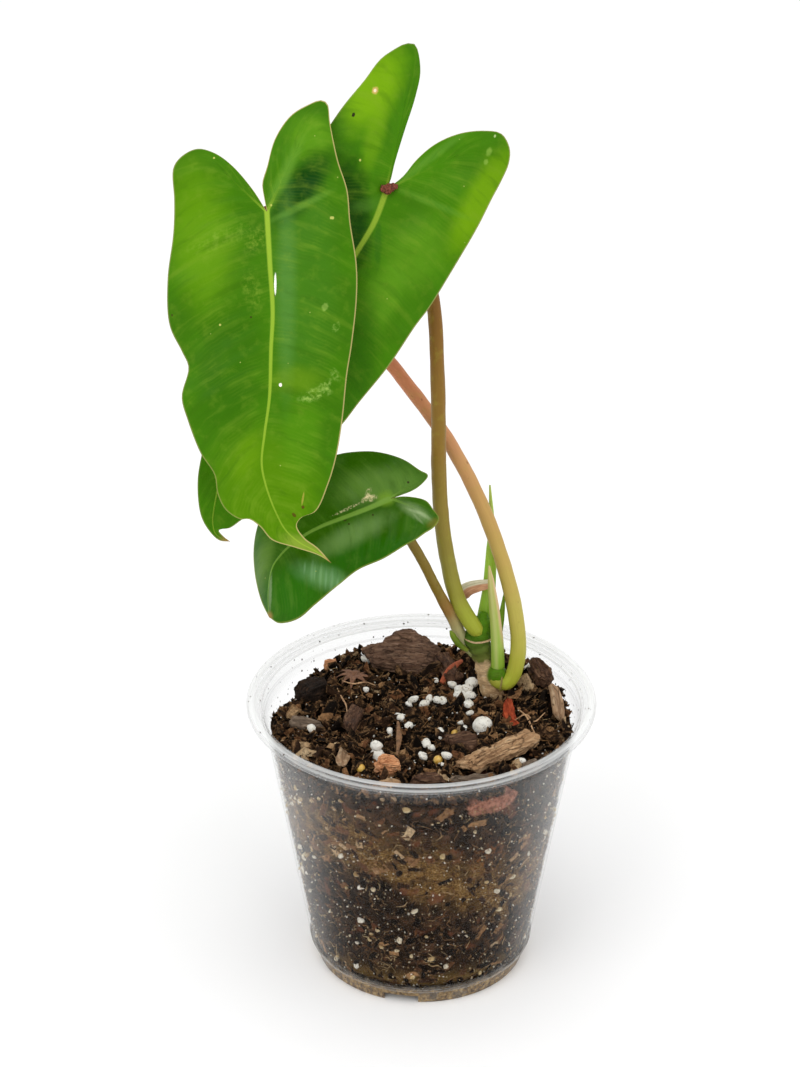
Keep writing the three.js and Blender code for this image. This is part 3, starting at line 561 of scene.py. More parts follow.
class Finish:
    """A procedural material while its nodes are put together."""

    def __init__(self, name, **surface):
        self.material = bpy.data.materials.new(name)
        self.material.use_nodes = True
        self.tree = self.material.node_tree
        self.shader = self.tree.nodes["Principled BSDF"]
        self.base = None
        self.set(**surface)

    def feed(self, socket, value):
        if isinstance(value, bpy.types.NodeSocket):
            self.tree.links.new(value, socket)
        elif socket.type == "RGBA":
            socket.default_value = (*linear_tint(value), 1)
        else:
            socket.default_value = value

    def node(self, kind, inputs=(), **settings):
        made = self.tree.nodes.new("ShaderNode" + kind)
        for key, value in settings.items():
            setattr(made, key, value)
        for key, value in dict(inputs).items():
            self.feed(made.inputs[key], value)
        return made

    def set(self, **inputs):
        if self.base is not None:
            inputs["Base_Color"] = self.base
        for key, value in inputs.items():
            self.feed(self.shader.inputs[key.replace("_", " ")], value)
        return self.material

    def place(self):
        """Object coordinates in millimetres."""
        return self.stretch(self.node("TexCoord").outputs["Object"], *(1 / MM,) * 3)

    def noted(self, name, output="Fac"):
        return self.node("Attribute", attribute_name=name).outputs[output]

    def parts(self, vector):
        return tuple(self.node("SeparateXYZ", {0: vector}).outputs)

    def stretch(self, vector, x, y, z):
        return self.node("VectorMath", {0: vector, 1: (x, y, z)}, operation="MULTIPLY").outputs[0]

    def noise(self, at, size, detail=4.0, roughness=0.55, distortion=0.0):
        """Noise with features of about size millimetres."""
        values = {"Vector": at, "Scale": 1 / size, "Detail": detail, "Roughness": roughness}
        return self.node("TexNoise", {**values, "Distortion": distortion}).outputs["Fac"]

    def cells(self, at, size, output="Distance", feature="F1", randomness=1.0):
        values = {"Vector": at, "Scale": 1 / size, "Randomness": randomness}
        return self.node("TexVoronoi", values, feature=feature).outputs[output]

    def maths(self, operation, a, b=0.0):
        return self.node("Math", {0: a, 1: b}, operation=operation).outputs[0]

    def times(self, a, b, *more):
        product = self.maths("MULTIPLY", a, b)
        return self.times(product, *more) if more else product

    def plus(self, a, b, *more):
        total = self.maths("ADD", a, b)
        return self.plus(total, *more) if more else total

    def minus(self, a, b):
        return self.maths("SUBTRACT", a, b)

    def over(self, value, low, high, start=0.0, end=1.0):
        """Smoothly from start to end while value goes from low to high."""
        values = dict(enumerate((value, low, high, start, end)))
        return self.node("MapRange", values, interpolation_type="SMOOTHSTEP").outputs[0]

    def patches(self, at, size, detail, *span):
        """Noise with features of about size millimetres, shared out as over does it."""
        return self.over(self.noise(at, size, detail), *span)

    def dots(self, at, size, wide, among, span):
        """Round specks, one to a cell of that size, kept only in patches among the rest."""
        return self.times(self.over(self.cells(at, size), *wide), self.patches(at, among, 1, *span))

    def vein_lines(self, run, spacing, sharp):
        """Lines across a run that is given in millimetres."""
        wave = self.maths("SINE", self.times(run, 2 * pi / spacing))
        return self.maths("POWER", self.times(self.plus(wave, 1), 0.5), sharp)

    def ramp(self, value, *stops):
        made = self.node("ValToRGB", {"Fac": value})
        elements = made.color_ramp.elements
        while len(elements) < len(stops):
            elements.new(0.5)
        for element, (at, tint) in zip(elements, stops):
            element.position = at
            element.color = (*linear_tint(tint), 1)
        return made.outputs["Color"]

    def blend(self, amount, a, b):
        made = self.node("Mix", data_type="RGBA")
        for socket, value in zip((made.inputs[0], made.inputs[6], made.inputs[7]), (amount, a, b)):
            self.feed(socket, value)
        return made.outputs[2]

    def lay(self, amount, tint):
        """Lays a tint over the base colour, as far as amount says."""
        self.base = self.blend(amount, self.base, tint)

    def patch(self, at, middle, size, turn=0, soft=0.5, specks=0.0):
        """1 inside a slightly ragged oval of the flat blade, 0 outside; specks of that size break it up."""
        place = {"Vector": at, "Location": (*middle, 0), "Rotation": (0, 0, radians(turn))}
        inside = self.node("Mapping", {**place, "Scale": (*size, 1)}, vector_type="TEXTURE").outputs[0]
        far = self.node("VectorMath", {0: inside}, operation="LENGTH").outputs["Value"]
        ragged = self.minus(self.noise(at, 0.8 * min(size), 3), 0.5)
        far = self.plus(far, self.times(ragged, 0.8 if soft < 1 else 0.4))
        covered = self.over(far, 1 + 0.5 * soft, 1 - 0.5 * soft)
        if specks:
            covered = self.times(covered, self.over(self.noise(at, specks, 4, 0.7), 0.42, 0.68))
        return covered

    def bump(self, height, depth, normal=None):
        """Raises the surface by height times depth millimetres."""
        values = {"Height": height, "Distance": depth * MM, "Strength": 1.0}
        if normal:
            values["Normal"] = normal
        return self.node("Bump", values).outputs["Normal"]


def plastic_finish(settings):
    made = Finish("clear_plastic", IOR=1.46, Base_Color=settings.plastic)
    at = made.place()
    z = made.parts(at)[2]
    # A whitish veil where the wall is seen at a grazing angle: painted reflection, put into the plastic's opacity and
    # its colour
    edge = made.node("LayerWeight", {"Blend": 0.22}).outputs["Facing"]
    edge = made.maths("POWER", edge, 2.2)
    edge = made.times(edge, made.over(z, 96, 98, 0.62, 0.34), made.over(z, 4, 11, 0.3, 1))
    # Painted highlights: the bright lines round the rim, the ledge and the foot's step, in the opacity
    lines = 0.0
    for level, strength in RIM_HIGHLIGHTS:
        away = made.maths("ABSOLUTE", made.minus(z, level))
        lines = made.plus(lines, made.over(away, 0.4, 0.1, 0, strength))
    rim = made.plus(made.over(z, 97, 100, 0, 0.07), lines)
    bare = made.over(z, 90, 94, 0, 0.055)
    milk = made.plus(made.times(made.noise(at, 14, 3), settings.haze), bare)
    near_foot = made.over(z, 12, 3)
    film = made.times(made.noise(made.stretch(at, 1, 1, 0.5), 5, 5), near_foot)
    specks = made.times(made.dots(at, 2.7, (0.16, 0.11), 2.3, (0.5, 0.56)), made.over(z, 84, 90, 0.12, 1))
    dust = made.over(made.noise(at, 0.7, 5, 0.7), 0.62, 0.74, 0, 0.02)
    dust = made.times(dust, made.patches(at, 9, 2, 0.48, 0.62))
    solid = made.plus(made.plus(edge, rim), made.plus(milk, dust), made.over(film, 0.15, 0.42, 0, 0.85))
    solid = made.maths("MAXIMUM", made.maths("MINIMUM", solid, 0.9), specks)
    # The plastic is lighter under the grazing veil: painted reflection
    clear = made.blend(made.over(edge, 0.01, 0.08), lighter(settings.plastic, 0.25), settings.plastic)
    made.base = made.blend(made.over(z, 90, 94), clear, lighter(settings.plastic, 0.3))
    made.lay(made.over(z, 96.5, 98.5), lighter(settings.plastic, 0.55))
    grit = made.noise(at, 1.5, 5, 0.7)
    silt = made.ramp(grit, (0.4, (82, 60, 34)), (0.52, (134, 106, 64)), (0.64, (180, 154, 108)))
    made.lay(made.over(film, 0.15, 0.45, 0, 0.95), silt)
    # The painted highlight lines take the plastic's full tint
    made.lay(made.over(lines, 0.02, 0.25), settings.plastic)
    made.lay(specks, settings.dirt)
    rough_at = made.patches(at, 4, 4, 0.3, 0.7, 0.08, 0.2)
    return made.set(Alpha=solid, Roughness=made.plus(rough_at, specks))


def mix_finish(settings):
    """The body of the mix, seen through the wall and between the bits on top."""
    made = Finish("damp_mix", IOR=1.4, Specular_IOR_Level=0.03)
    at = made.place()
    x, y, z = made.parts(at)
    lumps = made.noise(at, 5.5, 6, 0.68, 0.6)
    dark, brown = (0.36, lighter(settings.peat, 0.35)), (0.56, (58, 42, 28))
    made.base = made.ramp(lumps, dark, (0.47, settings.peat), brown, (0.68, settings.bark))
    # the pale fibrous band, and the damp pale foot
    tilt, drop = BAND["from"], BAND["drop"]
    dropped = made.times(made.maths("MAXIMUM", x, tilt), drop)
    slope = made.plus(z, dropped, made.times(made.noise(at, 22, 3), 26))
    band = made.times(made.over(slope, 60, 71), made.over(slope, 94, 80))
    strands = made.noise(made.stretch(at, 1, 1, 2.2), 1.6, 6, 0.75, 2.4)
    pale = (0.56, (150, 114, 64)), (0.64, (202, 170, 118))
    fibrous = made.ramp(strands, (0.42, (38, 27, 12)), (0.5, (104, 74, 38)), *pale)
    broken = made.over(made.noise(at, 5, 4, 0.6), 0.36, 0.54, 0.3, 0.95)
    made.lay(made.times(band, broken), fibrous)
    made.lay(made.over(z, 17, 7, 0, 0.85), made.ramp(strands, (0.42, (80, 60, 32)), (0.6, (146, 118, 70))))
    made.lay(made.patches(at, 9, 2, 0.62, 0.7, 0, 0.6), (112, 66, 44))
    # a reddish plate of bark pressed flat against the wall at the front right
    turn = made.maths("ARCTAN2", y, made.minus(x, AXIS[0]))
    unrolled = made.node("CombineXYZ", {0: made.times(turn, UNROLLED), 1: z}).outputs[0]
    plate_at, rust_at = (radians(angle) * UNROLLED for angle in (PLATE["turn"], -61))
    plate = made.patch(unrolled, (plate_at, PLATE["z"]), PLATE["size"], 0, 0.15)
    reddish = made.ramp(made.noise(at, 1.5, 5, 0.7), (0.4, (118, 74, 58)), (0.6, (176, 122, 100)))
    made.lay(plate, reddish)
    made.lay(made.times(made.patch(unrolled, (rust_at, 63), (7, 6), 0, 1.2, 1.6), 0.6), (158, 96, 46))
    made.lay(made.dots(at, 1.7, (0.17, 0.12), 2.6, (0.5, 0.58)), (196, 178, 142))
    from_wall = made.node("CombineXYZ", {0: made.minus(x, AXIS[0]), 1: y}).outputs[0]
    from_wall = made.node("VectorMath", {0: from_wall}, operation="LENGTH").outputs["Value"]
    shaded = made.times(made.over(from_wall, 50.5, 47.5, 0, 0.8), made.over(z, 80, 84))
    made.lay(shaded, lighter(settings.peat, 0.4))
    wet = made.patches(at, 3, 3, 0.35, 0.7, 0.62, 0.95)
    return made.set(Roughness=wet, Normal=made.bump(made.noise(at, 1.1, 5, 0.7), 0.9))


def bit_finish(name, stops, roughness=0.85, depth=0.35):
    """Small bits of many tints: each bit notes its own tone from 0 to 1."""
    made = Finish(name, Roughness=roughness, IOR=1.4, Specular_IOR_Level=0.06)
    own = made.noted("tone")
    at = made.place()
    made.base = made.ramp(own, *stops)
    grain = made.noise(at, 0.9, 5, 0.7)
    made.lay(made.over(grain, 0.35, 0.62, 0.62, 0), lighter(stops[0][1], 0.6))
    rim = made.times(made.over(made.noted("rim"), 0.5, 0.72), made.over(grain, 0.4, 0.6, 0.1, 0.6))
    made.lay(rim, lighter(stops[-2][1], 0.9))
    pale = made.over(made.noise(at, 0.5, 4, 0.7), 0.6, 0.74, 0, 0.22)
    made.lay(pale, lighter(stops[-1][1], 1.2))
    return made.set(Normal=made.bump(grain, depth))


def bark_finish(name, dark, mid, pale, gloss=0.8):
    """Bark with its grain along the piece: the piece notes where each point lies in the chip."""
    made = Finish(name, IOR=1.4, Specular_IOR_Level=0.2)
    at = made.noted("grain", "Vector")
    along = made.stretch(at, 0.16, 1, 1)
    streaks = made.noise(along, 1.5, 6, 0.65, 0.8)
    made.base = made.ramp(streaks, (0.3, dark), (0.5, mid), (0.72, pale))
    weather = made.patches(at, 4.5, 4, 0.42, 0.68, 0, 0.55)
    made.lay(weather, lighter(mid, 1.35))
    cracks = made.cells(made.stretch(at, 0.3, 1, 1), 1.9, feature="DISTANCE_TO_EDGE")
    cracks = made.times(made.over(cracks, 0.09, 0), made.patches(at, 3, 2, 0.42, 0.6))
    made.lay(made.times(cracks, 0.5), lighter(dark, 0.4))
    pits = made.patches(at, 0.45, 3, 0.66, 0.76, 0, 0.5)
    made.lay(pits, lighter(pale, 1.15))
    height = made.minus(streaks, made.times(cracks, 0.5))
    rough_at = made.over(streaks, 0.3, 0.7, gloss - 0.12, 0.95)
    return made.set(Roughness=rough_at, Normal=made.bump(height, 0.8))


def perlite_finish(settings):
    made = Finish("perlite", Roughness=0.9)
    at = made.place()
    pores = made.over(made.cells(at, 0.7), 0.3, 0.05)
    made.base = made.blend(made.patches(at, 2.4, 4, 0.45, 0.75, 0, 0.6), settings.perlite, (214, 204, 184))
    made.lay(made.times(pores, 0.45), (150, 136, 116))
    stain = made.over(made.noise(at, 0.8, 3, 0.6), 0.63, 0.68, 0, 0.85)
    made.lay(stain, (108, 84, 60))
    height = made.minus(made.noise(at, 0.8, 3), pores)
    return made.set(Normal=made.bump(height, 0.3))


def prill_finish():
    made = Finish("fertiliser_prill", Roughness=0.32, IOR=1.48)
    at = made.place()
    tints = (0.35, (190, 140, 50)), (0.55, (216, 178, 88)), (0.75, (236, 216, 156))
    made.base = made.ramp(made.noise(at, 1.6, 3), *tints)
    made.lay(made.patches(at, 0.4, 3, 0.66, 0.74, 0, 0.6), (130, 92, 44))
    return made.set(Normal=made.bump(made.noise(at, 0.6, 2), 0.06))


def blade_finish(name, main, rib, margin, rim, gloss, patches):
    """A blade's upper side. rim is how plain its margin shows, patches its soft tints, its marks and its painted shade,
    shadow, sheen and highlights.
    """
    made = Finish(name, IOR=1.42, Specular_IOR_Level=0.07)
    flat = made.noted("flat", "Vector")
    across = made.parts(flat)[0]
    veins = made.node("UVMap", uv_map="veins").outputs[0]
    run, out, _ = made.parts(veins)
    run = made.times(run, 100)
    sway = made.times(made.minus(made.noise(flat, 9, 3), 0.5), 2.4)
    run = made.plus(made.plus(run, sway), made.times(made.maths("POWER", out, 2), -VEINS["sweep"]))
    fine, strong = made.vein_lines(run, 1.15, 2), made.vein_lines(run, VEINS["apart"], 7)
    faded = made.times(made.patches(flat, 14, 2, 0.4, 0.66), made.over(out, 1.0, 0.6))
    broad = made.noise(flat, 24, 4, 0.6, 0.6)
    made.base = made.blend(made.over(broad, 0.36, 0.62, 0, 0.7), lighter(main, 0.8), main)
    # Soft tints and marks, some of them painted shade, painted shadow, painted sheen and painted highlights
    for tint, amount, *place in patches:
        made.lay(made.times(made.patch(flat, *place), amount), tint)
    drawn = made.node("CombineXYZ", {0: made.times(run, 0.3), 1: made.times(out, 1.3)})
    streaks = made.noise(drawn.outputs[0], 1, 3, 0.6, 0.3)
    streaky = made.over(out, 0.0, 0.25)
    made.lay(made.times(made.over(streaks, 0.5, 0.7, 0, 0.3), streaky), lighter(main, 0.6))
    made.lay(made.times(made.over(streaks, 0.46, 0.3, 0, 0.13), streaky), lighter(rib, 0.8))
    mottle = made.over(made.noise(flat, 4.5, 5, 0.6), 0.5, 0.72, 0, 0.14)
    made.lay(mottle, lighter(rib, 0.8))
    made.lay(made.times(fine, faded, 0.06), rib)
    made.lay(made.times(strong, faded, 0.13), rib)
    freckles = made.over(made.cells(flat, 5.2), 0.05, 0.03)
    freckles = made.times(freckles, made.patches(flat, 6, 1, 0.5, 0.54))
    made.lay(made.times(freckles, 0.6), (176, 186, 96))
    ribs = made.over(made.noted("rib"), 1.25, 0.5)
    made.lay(made.times(ribs, made.noted("rib_tone")), rib)
    edge = made.over(made.noted("edge"), 0.5, 0.2)
    edge = made.times(edge, made.over(across, -12, 4, 0.4 * rim, rim))
    made.lay(edge, margin)
    browned = made.over(made.noted("tip"), 0.5, 0.95)
    made.lay(browned, (150, 122, 70))
    relief = made.minus(made.times(fine, 0.2), made.times(strong, 0.8))
    relief = made.plus(made.times(relief, faded), made.times(made.noise(flat, 1.3, 4), 0.4))
    rough_at = made.patches(flat, 7, 4, 0.3, 0.7, gloss - 0.05, gloss + 0.07)
    return made.set(Roughness=rough_at, Normal=made.bump(relief, 0.09))


def underside_finish(name, tint, rib, margin):
    made = Finish(name, Roughness=0.55, IOR=1.4, Specular_IOR_Level=0.3)
    flat = made.noted("flat", "Vector")
    veins = made.node("UVMap", uv_map="veins").outputs[0]
    run, out, _ = made.parts(veins)
    run = made.minus(made.times(run, 100), made.times(made.maths("POWER", out, 2), VEINS["sweep"]))
    strong = made.vein_lines(run, VEINS["apart"], 9)
    made.base = made.blend(made.noise(flat, 16, 4), lighter(tint, 0.8), lighter(tint, 1.15))
    made.lay(made.times(strong, 0.45), rib)
    made.lay(made.over(made.noted("rib"), 2.2, 1.0), rib)
    made.lay(made.over(made.noted("edge"), 0.7, 0.3), margin)
    height = made.plus(strong, made.times(made.noise(flat, 1.2, 4), 0.4))
    return made.set(Normal=made.bump(height, 0.2))


def stalk_finish(name, stops, speckle, gloss=0.36):
    """A stalk whose tints change along it, with brown flecks and faint lengthwise lines."""
    made = Finish(name, IOR=1.42, Specular_IOR_Level=0.25)
    run = made.noted("run", "Vector")
    u = made.parts(run)[0]
    at = made.place()
    tinted = made.plus(u, made.times(made.minus(made.noise(at, 9, 3), 0.5), 0.08))
    made.base = made.ramp(tinted, *stops)
    fine = made.noise(made.stretch(run, 0, 0.05, 9), 1, 4, 0.6)
    made.lay(made.over(fine, 0.4, 0.7, 0, 0.1), lighter(stops[-1][1], 0.72))
    made.lay(made.patches(at, 3.2, 3, 0.5, 0.75, 0, 0.16), lighter(stops[0][1], 1.1))
    flecks = made.over(made.cells(made.stretch(at, 1, 1, 0.55), 3.4), 0.15, 0.08)
    flecks = made.times(flecks, made.patches(at, 5, 1, 0.5, 0.58, 0, speckle))
    made.lay(flecks, (92, 50, 24))
    raised = made.plus(fine, made.times(flecks, -0.6))
    return made.set(Roughness=made.patches(at, 5, 3, 0.3, 0.7, gloss, gloss + 0.14), Normal=made.bump(raised, 0.1))


def stem_finish(settings):
    made = Finish("stem", Roughness=0.5, IOR=1.4, Specular_IOR_Level=0.15)
    at = made.place()
    high = made.noted("height")
    band = made.plus(high, made.times(made.minus(made.noise(at, 3, 3), 0.5), 0.12))
    old = (0.0, (112, 84, 56)), (0.28, settings.cork), (0.44, (206, 176, 134))
    green = (0.47, (96, 102, 44)), (0.64, (80, 106, 34)), (0.7, lighter(settings.node, 0.7)), (0.8, settings.node)
    made.base = made.ramp(band, *old, *green, (1.0, lighter(settings.node, 1.2)))
    side = made.blend(made.patches(at, 4, 3, 0.42, 0.6, 0, 0.5), lighter(settings.node, 1.15), (78, 96, 26))
    made.lay(made.noted("side_node"), side)
    wrinkles = made.noise(made.stretch(at, 1, 1, 3.2), 1.6, 5, 0.65)
    corky = made.minus(1, made.noted("side_node"))
    wrinkled = made.times(made.over(wrinkles, 0.42, 0.62, 0.4, 0), made.over(high, 0.5, 0.4, 0.15, 1), corky)
    made.lay(wrinkled, (84, 58, 36))
    crust = made.over(made.noise(at, 1.4, 5, 0.7), 0.55, 0.68, 0, 0.75)
    crust = made.times(crust, made.times(corky, made.over(high, 0.46, 0.4)))
    made.lay(crust, (206, 184, 150))
    return made.set(Normal=made.bump(wrinkles, 0.35))


def sheath_finish(name, stops, paper, dryness):
    """A sheath's skin: tints along it, a soft pale middle and, by dryness, a papery right edge."""
    made = Finish(name, Roughness=0.42, IOR=1.42, Specular_IOR_Level=0.25)
    run = made.noted("run", "Vector")
    u, _, turn = made.parts(run)
    made.base = made.ramp(u, *stops)
    lines = made.noise(made.stretch(run, 0, 0.06, 7), 1, 4, 0.6)
    made.lay(made.over(lines, 0.4, 0.7, 0, 0.25), lighter(stops[-1][1], 1.15))
    middle = made.over(made.maths("ABSOLUTE", made.plus(turn, 0.25)), 0.55, 0.0, 0, 0.4 * dryness)
    made.lay(middle, (214, 214, 150))
    dry = made.times(made.over(turn, 0.35, 0.85, 0, dryness), made.over(u, 0.1, 0.4))
    made.lay(dry, paper)
    return made.set(Normal=made.bump(lines, 0.08))


def membrane_finish():
    """The dry strip between the stalks: a cream membrane above, a pinkish tan rib below."""
    made = Finish("dry_sheath", Roughness=0.6, IOR=1.4, Specular_IOR_Level=0.3)
    run = made.noted("run", "Vector")
    turn = made.parts(run)[2]
    folds = made.noise(made.stretch(run, 0, 0.2, 5), 1, 4, 0.6)
    cream = made.ramp(folds, (0.3, (176, 170, 132)), (0.6, (222, 214, 188)))
    rib = made.ramp(folds, (0.3, (176, 120, 88)), (0.65, (214, 164, 128)))
    lower = made.plus(turn, made.times(made.minus(folds, 0.5), 0.2))
    return made.set(Base_Color=made.blend(made.over(lower, -0.3, -0.05), cream, rib), Normal=made.bump(folds, 0.12))


def paper_finish(name, pale, dark):
    made = Finish(name, Roughness=0.75, IOR=1.4)
    at = made.place()
    folds = made.noise(made.stretch(at, 1, 1, 0.4), 1.2, 5, 0.65, 0.8)
    made.base = made.ramp(folds, (0.3, dark), (0.55, pale), (0.75, lighter(pale, 1.2)))
    spots = made.patches(at, 0.8, 4, 0.62, 0.74, 0, 0.6)
    made.lay(spots, lighter(dark, 0.6))
    return made.set(Normal=made.bump(folds, 0.3))


# Pot


def pot_profile(settings):
    """Radius and height from the underside of the floor, round the rim, to the floor's top."""
    wall, roll = settings.wall / MM, settings.roll / MM
    foot, step = FOOT["r"], FOOT["step"]
    ring = foot - FOOT["width"]
    (top, high), (low, corner) = WALL_TOP, WALL_LOW
    ledge = float(wall_radius(LEDGE[0]))
    middle = (settings.rim / MM - roll, settings.height / MM - roll)
    profile = [
        (0.6, FLOOR_TOP - wall), (ring - 0.3, FLOOR_TOP - wall), (ring, 0.25), (ring + 0.25, 0),
        (foot - 0.3, 0), (foot, 0.3), (foot + 0.4, step - 0.3), (foot + 0.7, step + 0.2),
        (low - 1.4, step + 0.9), (low - 1.0, step + 1.3), (low - 0.3, step + 3), (low, corner),
        (LEDGE_FOOT[0] + wall, LEDGE_FOOT[1]), (ledge, LEDGE[0]), (top, high - 0.3), (top + 0.25, high),
    ]
    for angle in range(-120, 151, 18):
        turn = radians(angle)
        profile.append((middle[0] + roll * cos(turn), middle[1] + roll * sin(turn)))
    return profile + [
        (top + 0.6, high + 2.3), (top, high + 1.4), (top - wall, high), (ledge - wall, LEDGE[0]), LEDGE_FOOT,
        (low - wall, corner), (low - wall - 0.4, step + 3), (foot - 0.6, FLOOR_TOP), (0.6, FLOOR_TOP),
    ]


def mould_pot(settings):
    """A disc drawn out, up over the rim and down inside again, as one shell."""
    profile = pot_profile(settings)
    clear_selection()
    x, y = AXIS[0] * MM, AXIS[1] * MM
    r, z = profile[0]
    bpy.ops.mesh.primitive_circle_add(vertices=160, radius=r * MM, fill_type="NGON", location=(x, y, z * MM))
    pot = bpy.context.active_object
    pot.name = pot.data.name = "nursery_pot"
    bpy.ops.object.mode_set(mode="EDIT")
    bpy.ops.mesh.select_all(action="SELECT")
    for (r, z), (next_r, next_z) in zip(profile, profile[1:]):
        bpy.ops.mesh.extrude_region_move(TRANSFORM_OT_translate={"value": (0, 0, (next_z - z) * MM)})
        grow = next_r / r
        bpy.ops.transform.resize(value=(grow, grow, 1), center_override=(x, y, next_z * MM))
    bpy.ops.mesh.select_all(action="SELECT")
    bpy.ops.mesh.normals_make_consistent(inside=False)
    bpy.ops.object.mode_set(mode="OBJECT")
    return settle(pot)


def cut_openings(pot):
    """Notches in the foot ring and drain holes in the floor."""
    cutters = []
    for i in range(NOTCH["count"]):
        turn = radians(NOTCH["first"] + 360 / NOTCH["count"] * i)
        at = (AXIS[0] + FOOT["r"] * cos(turn), AXIS[1] + FOOT["r"] * sin(turn), 0)
        size = np.array([8, NOTCH["width"], 2 * NOTCH["height"]]) * MM
        clear_selection()
        bpy.ops.mesh.primitive_cube_add(size=1, location=[c * MM for c in at], rotation=(0, 0, turn), scale=size)
        cutters.append(settle())
    turns = np.radians(np.arange(DRAIN["count"]) * 360 / DRAIN["count"])
    circle = [(0, 0)] + [(DRAIN["circle"] * cos(turn), DRAIN["circle"] * sin(turn)) for turn in turns]
    for hole_x, hole_y in circle:
        at = ((AXIS[0] + hole_x) * MM, (AXIS[1] + hole_y) * MM, FLOOR_TOP * MM)
        clear_selection()
        bpy.ops.mesh.primitive_cylinder_add(vertices=32, radius=DRAIN["r"] * MM, depth=4 * MM, location=at)
        cutters.append(settle())
    cutter = join(cutters, "cutter")
    modify(pot, "BOOLEAN", operation="DIFFERENCE", solver="EXACT", object=cutter)
    bpy.data.objects.remove(cutter)
    pick(pot)
    bpy.ops.object.shade_smooth_by_angle(angle=radians(40))


class PLANT_OT_pot(Operator):
    """Mould the clear pot with its rolled rim, stacking ledge, foot ring and drain holes"""

    bl_idname = "plant.pot"
    bl_label = "Clear pot"

    def execute(self, context):
        settings = context.scene.potted_plant.pot
        pot = mould_pot(settings)
        cut_openings(pot)
        finish_piece(pot, plastic_finish(settings), ["pot"])
        return {"FINISHED"}


# Mix


def mix_body():
    """The body of the mix: its rough side against the wall and its lumpy top."""
    segments, wall_rows, top_rows = 300, 96, 62
    turns = np.linspace(0, 2 * pi, segments, endpoint=False)
    floor = FLOOR_TOP + 0.35
    brim = wall_brim(turns)
    rings = []
    for i in range(wall_rows + 1):
        z = floor + (brim - floor) * i / wall_rows
        low = np.interp(z, [floor, FOOT["step"] + 3.2, WALL_LOW[1]], [FOOT["r"] - 2.2, 37.5, 38.6])
        r = np.minimum(inner_radius(z), np.where(z < WALL_LOW[1], low, 99)) - 0.35
        rings.append(np.stack([r * np.cos(turns), r * np.sin(turns), z], axis=1))
    wall = np.vstack(rings)
    knobs = np.array([noise.noise(Vector(p) / 2.6) + 0.5 * noise.noise(Vector(p) / 0.9) for p in wall.tolist()])
    inward = np.clip(0.55 + 0.75 * knobs, 0, 1.6)[:, None]
    wall[:, :2] *= 1 - inward / norm(wall[:, :2], axis=1)[:, None]
    top_radius = inner_radius(brim) - 0.5
    top = []
    for i in range(1, top_rows + 1):
        r = top_radius * (1 - i / (top_rows + 0.5)) ** 0.9
        x, y = r * np.cos(turns), r * np.sin(turns)
        top.append(np.stack([x, y, mix_height(x, y) - 0.9], axis=1))
    top = np.vstack(top)
    crumbs = rough(top, 3.0, 4, 2) * 1.3 + rough(top, 9, 2, 5) * 0.8
    top[:, 2] += np.clip(crumbs, -2.5, 1.6)
    points = np.vstack([wall, top, [[0, 0, floor]], [[0, 0, float(mix_height(0, 0)) - 0.5]]])
    faces = tube_faces(wall_rows + 1 + top_rows, segments)
    body = new_piece("mix_body", points, faces)
    outward(body)
    return body


def bit_master(kind, seed):
    """The points and faces of one small bit, about 1 across, modelled once and copied many times."""
    clear_selection()
    if kind == "flake":
        bpy.ops.mesh.primitive_cube_add(size=1, scale=(1, 0.62, 0.16))
    else:
        fineness = {"crumb": 1, "grain": 2, "egg": 3}[kind]
        bpy.ops.mesh.primitive_ico_sphere_add(subdivisions=fineness, radius=0.5)
    bit = settle()
    bpy.ops.object.mode_set(mode="EDIT")
    bpy.ops.mesh.select_all(action="SELECT")
    if kind == "flake":
        bpy.ops.mesh.subdivide(number_cuts=1)
    offset = {"flake": 0.13, "crumb": 0.22, "grain": 0.08, "egg": 0.02}[kind]
    bpy.ops.transform.vertex_random(offset=offset, uniform=1, seed=seed)
    bpy.ops.mesh.quads_convert_to_tris()
    bpy.ops.object.mode_set(mode="OBJECT")
    points = np.array([v.co for v in bit.data.vertices])
    if kind == "flake":
        points[:, 2] += 0.6 * (points[:, 0] ** 2 - points[:, 1] ** 2) * (seed % 3 - 1)
    if kind == "egg":
        lumps = [noise.noise(Vector(p) * 1.6 + Vector((seed, 0, 0))) for p in points.tolist()]
        points *= 1 + 0.3 * np.array(lumps)[:, None]
    faces = np.array([list(p.vertices) for p in bit.data.polygons])
    bpy.data.objects.remove(bit)
    return points, faces


def gather(name, bits, smooth=True):
    """One mesh of many small bits: the points, faces and tone of each."""
    starts = np.cumsum([0] + [len(bit[0]) for bit in bits])
    faces = np.vstack([bit[1] + start for bit, start in zip(bits, starts)])
    piece = new_piece(name, np.vstack([bit[0] for bit in bits]), faces.tolist(), smooth)
    note(piece, "tone", np.repeat([bit[2] for bit in bits], np.diff(starts)))
    return piece


def scatter(name, masters, placed, smooth=False):
    """One mesh of copied bits. placed holds (master, 3x3 matrix, middle, tone) for each."""
    bits = [(masters[which][0] @ turn.T + middle, masters[which][1], tint) for which, turn, middle, tint in placed]
    piece = gather(name, bits, smooth)
    rims = [norm(masters[bit[0]][0] * (1, 1.5, 0), axis=1) for bit in placed]
    note(piece, "rim", np.concatenate(rims))
    return piece


def spin(draw, tilt=pi):
    """A turn about z, tipped by up to tilt."""
    tip = Euler((draw.uniform(-tilt, tilt), draw.uniform(-tilt, tilt), 0)).to_matrix()
    return np.array(tip @ Matrix.Rotation(draw.uniform(0, 2 * pi), 3, "Z"))


